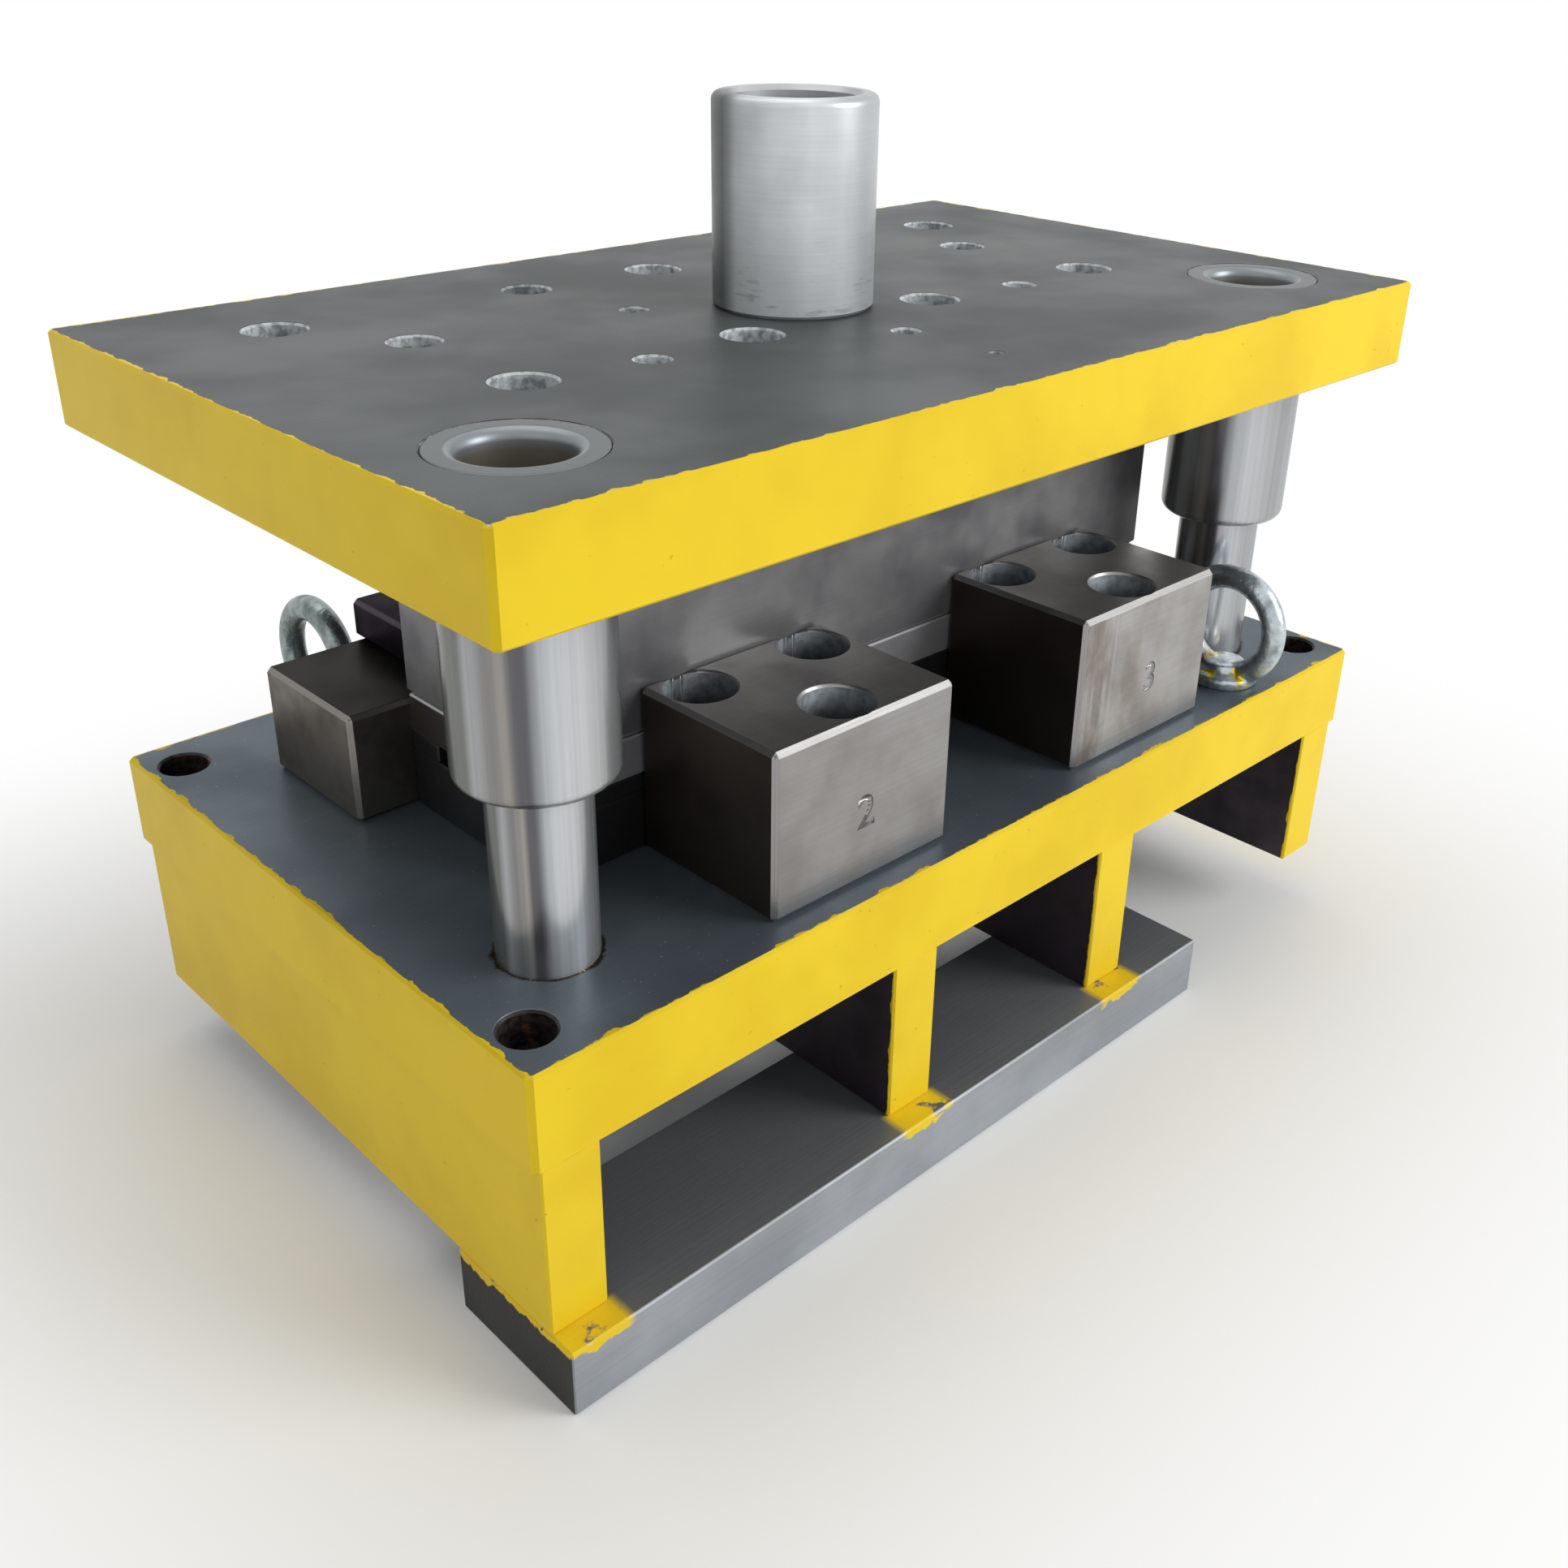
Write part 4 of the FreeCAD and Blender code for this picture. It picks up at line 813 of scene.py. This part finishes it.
class STAMPING_DIE_OT_guides(bpy.types.Operator):
    """Adds the two guide pillars and their bushes"""
    bl_idname = "stamping_die.guides"
    bl_label = "Guide Pillars and Bushes"

    def execute(self, context):
        size = context.scene.guide_size
        honed = honed_steel()
        clearance, foot_chamfer, nose, center_hole = 0.03, 1.0, 2.0, 4.0
        groove_pitch, groove_depth = 16.0, 1.0
        radius = size.pillar_diameter / MM / 2
        bore = radius + clearance
        groove, mouth, rim = size.oil_groove / MM, size.mouth_chamfer / MM, size.rim_chamfer / MM
        lower_round, upper_round = size.bush_round / MM, size.mouth_round / MM
        for side in ("left", "right"):
            low, high = corners("guide_pillar_" + side)
            x, y = (low.x + high.x) / 2, (low.y + high.y) / 2
            pillar = [(0, low.z), (radius - foot_chamfer, low.z), (radius, low.z + foot_chamfer)]
            pillar += arc(radius - nose, high.z - nose, nose, 0, 90)
            pillar += [(center_hole, high.z), (0, high.z - center_hole)]
            link_piece("pillar_" + side, turned("pillar_" + side, pillar, x, y), honed,
                       "lower_die", "ground_pillar_steel", "guide_pillar_" + side)
            low, high = corners("guide_bush_" + side)
            outer = (high.x - low.x) / 2
            bush = [(bore + mouth, low.z)]
            bush += arc(outer - lower_round, low.z + lower_round, lower_round, -90, 0)
            bush += [(outer, high.z - rim), (outer - rim, high.z)]
            bush += arc(bore + upper_round, high.z - upper_round, upper_round, 90, 180)
            for step in (2.5, 1.5, 0.5):
                z = low.z + groove_pitch * step
                floor = bore + groove_depth
                bush += [(bore, z + groove), (floor, z + groove), (floor, z), (bore, z)]
            bush += [(bore, low.z + mouth)]
            link_piece("bush_" + side, turned("bush_" + side, bush, x, y), honed,
                       "upper_die", "ground_pillar_steel", "guide_bush_" + side)
        return {"FINISHED"}


class STAMPING_DIE_OT_shank(bpy.types.Operator):
    """Adds the hollow shank on the upper shoe"""
    bl_idname = "stamping_die.shank"
    bl_label = "Shank"

    def execute(self, context):
        size = context.scene.shank_size
        low, high = corners("shank")
        shoe_top = corners("upper_shoe")[1].z
        spigot, outer, bore = 18.0, (high.x - low.x) / 2, size.bore / MM / 2
        floor, round_off, mouth = shoe_top + size.floor / MM, size.rim_round / MM, 1.5
        profile = [(0, low.z), (spigot - 1, low.z), (spigot, low.z + 1), (spigot, shoe_top),
                   (outer - 1, shoe_top), (outer, shoe_top + 1)]
        profile += arc(outer - round_off, high.z - round_off, round_off, 0, 90)
        profile += [(bore + mouth, high.z), (bore, high.z - mouth), (bore, floor + 1),
                    (bore - 1, floor), (0, floor)]
        link_piece("turned_shank", turned("turned_shank", profile, 0, 0, 128), turned_steel(),
                   "upper_die", "turned_steel", "shank")
        return {"FINISHED"}


class STAMPING_DIE_OT_eye_bolts(bpy.types.Operator):
    """Adds the two forged eye bolts"""
    bl_idname = "stamping_die.eye_bolts"
    bl_label = "Eye Bolts"

    def execute(self, context):
        size = context.scene.eye_bolt_size
        deck = corners("lower_shoe")[1].z
        # The left bolt's darker colours are painted shade.
        for side, light, dark, splashed in (("left", "9AA5A4", "68736F", False),
                                            ("right", "C6CFD4", "8C969B", True)):
            low, high = corners("eye_bolt_" + side)
            x, y = (low.x + high.x) / 2, (low.y + high.y) / 2
            outer = (high.y - low.y) / 2
            section = (outer - size.hole / MM / 2) / 2
            collar, collar_height, thread, thread_chamfer = size.collar / MM / 2, 3.8, 5.0, 0.8
            form = bmesh.new()
            ring_form(form, Vector((x, y, high.z - outer)), outer - section, section)
            profile = [(0, low.z), (thread - thread_chamfer, low.z), (thread, low.z + thread_chamfer),
                       (thread, deck), (collar, deck), (collar, deck + collar_height - 0.6),
                       (collar - 0.8, deck + collar_height)]
            profile += arc(collar - 1.5, deck + 8.0, 3.8, 265, 190, 5)
            profile += [(0, deck + 7.2)]
            turned_form(form, profile, x, y, 64)
            forging = loose_object("forging", new_mesh("forging", form))
            even = forging.modifiers.new("even", "REMESH")
            even.mode = "VOXEL"
            even.voxel_size = size.fineness
            soften = forging.modifiers.new("soften", "SMOOTH")
            soften.factor = 0.5
            soften.iterations = 5
            mesh = evaluated_mesh(forging, "forged_eye_" + side)
            for vertex in mesh.vertices:
                away = math.hypot(vertex.co.x / MM - x, vertex.co.y / MM - y)
                if away > thread + 0.6 and vertex.co.z < deck * MM:
                    vertex.co.z = deck * MM
            mesh.shade_smooth()
            plated = zinc_plate(context.scene.die_look, "zinc_plate_" + side, light, dark, splashed)
            link_piece("forged_eye_" + side, mesh, plated, "lower_die", "zinc_plated_steel", "eye_bolt_" + side)
        return {"FINISHED"}


def screw_tree():
    """Socket head cap screws on points. Each point is a screw's tip and holds its size and its stem's length."""
    tree = bpy.data.node_groups.new("socket_screws", "GeometryNodeTree")
    tree.interface.new_socket("Geometry", in_out="INPUT", socket_type="NodeSocketGeometry")
    for name, kind in (("Head Radius", "NodeSocketFloat"), ("Knurl", "NodeSocketInt"),
                       ("Socket Width", "NodeSocketFloat"), ("Socket Depth", "NodeSocketFloat"),
                       ("Material", "NodeSocketMaterial")):
        tree.interface.new_socket(name, in_out="INPUT", socket_type=kind)
    tree.interface.new_socket("Geometry", in_out="OUTPUT", socket_type="NodeSocketGeometry")
    sizes = add(tree, "NodeGroupInput").outputs
    foot = add(tree, "ShaderNodeMath", {0: sizes["Head Radius"], 1: 0.965}, operation="MULTIPLY")
    star = add(tree, "GeometryNodeCurveStar",
               {"Points": sizes["Knurl"], "Inner Radius": foot, "Outer Radius": sizes["Head Radius"]})
    face = add(tree, "GeometryNodeFillCurve", {"Curve": star}, mode="NGONS")
    side = add(tree, "GeometryNodeExtrudeMesh",
               {"Mesh": face, "Offset": (0.0, 0.0, 1.0), "Offset Scale": 0.94, "Individual": False}, mode="FACES")
    crown = add(tree, "GeometryNodeExtrudeMesh",
                {"Mesh": side, "Selection": side.outputs["Top"], "Offset": (0.0, 0.0, 1.0),
                 "Offset Scale": 0.06, "Individual": False}, mode="FACES")
    narrowed = add(tree, "GeometryNodeScaleElements",
                   {"Geometry": crown, "Selection": crown.outputs["Top"], "Scale": 0.92})
    both = add(tree, "GeometryNodeJoinGeometry", {"Geometry": add(tree, "GeometryNodeFlipFaces", {"Mesh": face})})
    tree.links.new(narrowed.outputs[0], both.inputs[0])
    head = add(tree, "GeometryNodeMergeByDistance", {"Geometry": both, "Distance": 0.001})
    across = add(tree, "ShaderNodeMath", {0: sizes["Socket Width"], 1: math.sqrt(3)}, operation="DIVIDE")
    deep = add(tree, "ShaderNodeMath", {0: sizes["Socket Depth"], 1: 2.0}, operation="MULTIPLY")
    hexagon = add(tree, "GeometryNodeMeshCylinder", {"Vertices": 6, "Radius": across, "Depth": deep})
    lifted = add(tree, "GeometryNodeTransform", {"Geometry": hexagon, "Translation": (0, 0, 1.0)})
    cut = add(tree, "GeometryNodeMeshBoolean", {"Mesh 1": head, "Mesh 2": lifted},
              operation="DIFFERENCE", solver="EXACT")
    size = add(tree, "GeometryNodeInputNamedAttribute", {"Name": "size"}, data_type="FLOAT")
    length = add(tree, "GeometryNodeInputNamedAttribute", {"Name": "stem"}, data_type="FLOAT")
    up = add(tree, "ShaderNodeCombineXYZ", {"Z": length})
    points = add(tree, "GeometryNodeMeshToPoints", {"Mesh": sizes["Geometry"]})
    seats = add(tree, "GeometryNodeSetPosition", {"Geometry": points, "Offset": up})
    heads = add(tree, "GeometryNodeInstanceOnPoints", {"Points": seats, "Instance": cut, "Scale": size})
    rod = add(tree, "GeometryNodeMeshCylinder", {"Vertices": 32, "Radius": 0.5, "Depth": 1.0})
    raised = add(tree, "GeometryNodeTransform", {"Geometry": rod, "Translation": (0, 0, 0.5)})
    girth = add(tree, "ShaderNodeCombineXYZ", {"X": size, "Y": size, "Z": length})
    stems = add(tree, "GeometryNodeInstanceOnPoints", {"Points": points, "Instance": raised, "Scale": girth})
    all_parts = add(tree, "GeometryNodeJoinGeometry", {"Geometry": heads})
    tree.links.new(stems.outputs[0], all_parts.inputs[0])
    real = add(tree, "GeometryNodeRealizeInstances", {"Geometry": all_parts})
    done = add(tree, "GeometryNodeSetMaterial", {"Geometry": real, "Material": sizes["Material"]})
    add(tree, "NodeGroupOutput", {"Geometry": done})
    return tree


class STAMPING_DIE_OT_screws(bpy.types.Operator):
    """Adds the socket head cap screws in the shoes, heel blocks and guide plate"""
    bl_idname = "stamping_die.screws"
    bl_label = "Socket Screws"

    def execute(self, context):
        size = context.scene.screw_size
        # Black oxide under oil: nearly black, with a soft gloss on the knurl and the crown.
        oxide = steel("oiled_black_oxide_steel", "2B2B2D", "1A1A1B", 0.4, 0.38, 6.0, 0.6, "Z")
        tree = screw_tree()
        socket = {item.name: item.identifier for item in tree.interface.items_tree if item.in_out == "INPUT"}
        for node, body in (("riser_screws", "lower_die"), ("front_heel_screws", "lower_die"),
                           ("guide_plate_screws", "lower_die"), ("block_screws", "upper_die"),
                           ("backing_plate_screws", "upper_die"), ("stop_post_screws", "upper_die")):
            boxes = solid_boxes(node)
            data = bpy.data.meshes.new("tips")
            data.from_pydata([((low + high) / 2).to_2d().to_3d() * MM + Vector((0, 0, low.z * MM))
                              for low, high in boxes], [], [])
            nominal = data.attributes.new("size", "FLOAT", "POINT")
            stem = data.attributes.new("stem", "FLOAT", "POINT")
            for i, (low, high) in enumerate(boxes):
                screw = (high.x - low.x) / 2 / size.head_radius
                nominal.data[i].value = screw * MM
                stem.data[i].value = (high.z - low.z - screw) * MM
            points = loose_object("tips", data)
            modifier = points.modifiers.new("screws", "NODES")
            modifier.node_group = tree
            for name, value in (("Head Radius", size.head_radius), ("Knurl", size.knurl), ("Material", oxide),
                                ("Socket Width", size.socket_width), ("Socket Depth", size.socket_depth)):
                modifier[socket[name]] = value
            mesh = smooth(evaluated_mesh(points, "socket_" + node), 25.0)
            link_piece("socket_" + node, mesh, oxide, body, "black_oxide_steel", node)
        return {"FINISHED"}


class STAMPING_DIE_OT_lifter_springs(bpy.types.Operator):
    """Adds the springs under the stock lifters, which shorten as the lifters go down"""
    bl_idname = "stamping_die.lifter_springs"
    bl_label = "Lifter Springs"

    def execute(self, context):
        size = context.scene.spring_size
        # Spring wire under oil: dark grey, with a narrow gloss along each turn.
        painted_shade_axis = steel("oiled_spring_steel", "4A4A4C", "363638", 0.6, 0.34, 5.0, 0.5, "Z")
        wide, tall, edge = size.wire_width / MM / 2, size.wire_height / MM / 2, size.edge_round / MM
        section = [(edge - wide, -tall), (wide - edge, -tall), (wide, edge - tall), (wide, tall - edge),
                   (wide - edge, tall), (edge - wide, tall), (-wide, tall - edge), (-wide, edge - tall)]
        for joint in frame["joints"]:
            if joint["child"].startswith("lifter_"):
                number = joint["child"][-1]
                low, high = corners("lifter_spring_" + number)
                foot = Vector(((low.x + high.x) / 2, (low.y + high.y) / 2, low.z + tall))
                form = bmesh.new()
                coil_form(form, foot, high.z - low.z - 2 * tall, (high.y - low.y) / 2 - wide, size.turns, section)
                piece = link_piece("coil_spring_" + number, smooth(new_mesh("coil_spring_" + number, form), 40.0),
                                   painted_shade_axis, "lower_die", "spring_steel", "lifter_spring_" + number)
                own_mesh(piece)
        return {"FINISHED"}


class STAMPING_DIE_OT_heel_blocks(bpy.types.Operator):
    """Adds the two front heel blocks with their stamped digits"""
    bl_idname = "stamping_die.heel_blocks"
    bl_label = "Front Heel Blocks"

    def execute(self, context):
        size = context.scene.stamp_size
        deck = corners("lower_shoe")[1].z
        for digit, shift, scratched, light, dark in (("2", 0.0, 0.0, "9B9997", "8A8785"),
                                                     ("3", 3.0, 0.7, "ABA9A6", "969390")):
            node = "front_heel_block_" + digit
            low, high = corners(node)
            # The ends of each block are darkened with painted shade.
            milled = block_steel("milled_heel_steel_" + digit, node, light, dark, "9A9998",
                                 oil_and_painted_light="4A433D", scratched=scratched)
            curve = bpy.data.curves.new("digit", "FONT")
            curve.body = digit
            curve.size = size.height / 0.7
            curve.offset = size.boldness
            curve.align_x = "CENTER"
            curve.align_y = "CENTER"
            curve.extrude = size.depth
            curve.resolution_u = 4
            writing = loose_object("digit", curve)
            stamp = loose_object("stamp", evaluated_mesh(writing, "stamp"))
            spot = Vector(((low.x + high.x) / 2 + shift, low.y, deck + size.above_deck / MM)) * MM
            worked_mesh(joined_form(stamp.data), stamp.data)
            stamp.data.transform(Matrix.Translation(spot) @ Matrix.Rotation(math.pi / 2, 4, "X"))
            block = loose_object("block", merged_copy(node, "block"))
            press = block.modifiers.new("press", "BOOLEAN")
            press.operation = "DIFFERENCE"
            press.solver = "EXACT"
            press.use_self = True
            press.object = stamp
            plain = len(block.data.vertices)
            mesh = smooth(evaluated_mesh(block, "heel_block_" + digit), 30.0)
            bpy.data.objects.remove(stamp)
            if len(mesh.vertices) < plain + 50:
                raise RuntimeError("the digit %s wasn't cut" % digit)
            link_piece("heel_block_" + digit, mesh, milled, "lower_die", "heel_block_steel", node)
        return {"FINISHED"}


class STAMPING_DIE_OT_stage(bpy.types.Operator):
    """Sets the floor, the lights and the camera"""
    bl_idname = "stamping_die.stage"
    bl_label = "Stage"

    def execute(self, context):
        look = context.scene.stage_look
        scene = context.scene
        scene.view_settings.view_transform = "Standard"
        add_world(scene)
        add_floor(look)
        add_light("key_light", (1.1, -1.5, 0.95), (0.0, 0.0, 0.14), 1.3, look.key_power)
        add_light("fill_light", (-1.6, -0.5, 0.8), (0.0, 0.0, 0.12), 1.3, look.fill_power)
        add_light("top_light", (-0.1, 0.5, 1.7), (0.0, 0.0, 0.1), 1.6, look.top_power)
        scene.camera = add_camera()
        return {"FINISHED"}


def seen_directly(tree):
    """1 where the camera, a mirror or a clear thing looks, and 0 where light only falls."""
    ray = add(tree, "ShaderNodeLightPath").outputs
    either = add(tree, "ShaderNodeMath", {0: ray["Is Camera Ray"], 1: ray["Is Glossy Ray"]}, operation="MAXIMUM")
    return add(tree, "ShaderNodeMath", {0: either, 1: ray["Is Transmission Ray"]}, operation="MAXIMUM")


def add_world(scene):
    """White to the camera and to reflections, and softer as a light."""
    world = bpy.data.worlds.new("pale_room")
    scene.world = world
    world.use_nodes = True
    tree = world.node_tree
    tree.nodes.clear()
    strength = add(tree, "ShaderNodeMix", {"Factor": seen_directly(tree), "A": 0.42, "B": 1.0})
    sky = add(tree, "ShaderNodeBackground", {"Color": (1, 1, 1, 1), "Strength": strength})
    add(tree, "ShaderNodeOutputWorld", {"Surface": sky})


def add_floor(look):
    """A wide matt floor that keeps the shadow near the die and fades to white away from it."""
    mesh = bmesh.new()
    bmesh.ops.create_circle(mesh, cap_ends=True, segments=96, radius=8.0)
    data = worked_mesh(mesh, bpy.data.meshes.new("floor"))
    material, tree, place = new_material("pale_matt_floor")
    high = Vector(CAD_BOX[1]) / MM
    out = add(tree, "ShaderNodeVectorMath", {0: place}, operation="ABSOLUTE")
    out = add(tree, "ShaderNodeVectorMath", {0: out, 1: (high.x, high.y, 0)}, operation="SUBTRACT")
    out = add(tree, "ShaderNodeVectorMath", {0: out, 1: (0, 0, 0)}, operation="MAXIMUM")
    away = add(tree, "ShaderNodeVectorMath", {0: out}, operation="LENGTH").outputs["Value"]
    far = add(tree, "ShaderNodeMapRange", {"Value": away, "From Min": -40.0, "From Max": 260.0},
              interpolation_type="SMOOTHSTEP")
    white = add(tree, "ShaderNodeMath", {0: far, 1: seen_directly(tree)}, operation="MULTIPLY")
    matt = add(tree, "ShaderNodeBsdfPrincipled", {"Base Color": look.floor, "Roughness": 0.9})
    glow = add(tree, "ShaderNodeEmission", {"Color": (1, 1, 1, 1), "Strength": 1.0})
    both = add(tree, "ShaderNodeMixShader", {0: white, 1: matt, 2: glow})
    add(tree, "ShaderNodeOutputMaterial", {"Surface": both})
    data.materials.append(material)
    loose_object("floor", data)


def add_light(name, place, target, size, power):
    """A round soft light at a place, turned to a target."""
    light = bpy.data.lights.new(name, "AREA")
    light.shape = "DISK"
    light.size = size
    light.energy = power
    lamp = loose_object(name, light)
    lamp.location = place
    lamp.rotation_euler = (Vector(target) - Vector(place)).to_track_quat("-Z", "Y").to_euler()


def add_camera():
    """The camera that took the photograph: its place, its turns in degrees and its lens."""
    photo_width = 1932
    focal_pixels = 2009.9
    middle_x, middle_y = 993.3, 891.4
    yaw, pitch, roll = (math.radians(a) for a in (44.4, 26.486, -1.082))
    data = bpy.data.cameras.new("camera")
    data.sensor_width = 36.0
    data.lens = focal_pixels * data.sensor_width / photo_width
    data.shift_x = (photo_width / 2 - middle_x) / photo_width
    data.shift_y = (middle_y - photo_width / 2) / photo_width
    data.clip_start, data.clip_end = 0.05, 50.0
    ahead = Vector((math.sin(yaw) * math.cos(pitch), math.cos(yaw) * math.cos(pitch), -math.sin(pitch)))
    level = Vector((math.cos(yaw), -math.sin(yaw), 0))
    place = Vector((-0.35486, -0.37193, 0.35362))
    down = ahead.cross(level)
    right = math.cos(roll) * level + math.sin(roll) * down
    up = math.sin(roll) * level - math.cos(roll) * down
    camera = loose_object("camera", data)
    turn = Matrix((right, up, -ahead)).transposed().to_4x4()
    camera.matrix_world = Matrix.Translation(place) @ turn
    return camera


class STAMPING_DIE_PT_panel(bpy.types.Panel):
    """Lists the pieces of the die"""
    bl_idname = "STAMPING_DIE_PT_panel"
    bl_label = "Stamping Die"
    bl_space_type = "VIEW_3D"
    bl_region_type = "UI"
    bl_category = "Stamping Die"

    def draw(self, context):
        for operator in OPERATORS:
            self.layout.operator(operator.bl_idname)
        for name in GROUPS:
            box = self.layout.box()
            group = getattr(context.scene, name)
            for key in group.bl_rna.properties.keys():
                if key not in ("rna_type", "name"):
                    box.prop(group, key)


GROUPS = {
    "die_look": DieLook, "guide_size": GuideSize, "shank_size": ShankSize, "eye_bolt_size": EyeBoltSize,
    "screw_size": ScrewSize, "spring_size": SpringSize, "stamp_size": StampSize, "stage_look": StageLook,
}
OPERATORS = (
    STAMPING_DIE_OT_plates, STAMPING_DIE_OT_guides, STAMPING_DIE_OT_shank, STAMPING_DIE_OT_eye_bolts,
    STAMPING_DIE_OT_screws, STAMPING_DIE_OT_lifter_springs, STAMPING_DIE_OT_heel_blocks, STAMPING_DIE_OT_stage,
)
CLASSES = tuple(GROUPS.values()) + OPERATORS + (STAMPING_DIE_PT_panel,)


def register():
    for item in CLASSES:
        bpy.utils.register_class(item)
    for name, group in GROUPS.items():
        setattr(bpy.types.Scene, name, bpy.props.PointerProperty(type=group))


def unregister():
    for name in GROUPS:
        delattr(bpy.types.Scene, name)
    for item in reversed(CLASSES):
        bpy.utils.unregister_class(item)


def main():
    register()
    bpy.ops.stamping_die.plates()
    bpy.ops.stamping_die.guides()
    bpy.ops.stamping_die.shank()
    bpy.ops.stamping_die.eye_bolts()
    bpy.ops.stamping_die.screws()
    bpy.ops.stamping_die.lifter_springs()
    bpy.ops.stamping_die.heel_blocks()
    bpy.ops.stamping_die.stage()


if __name__ == "__main__":
    main()
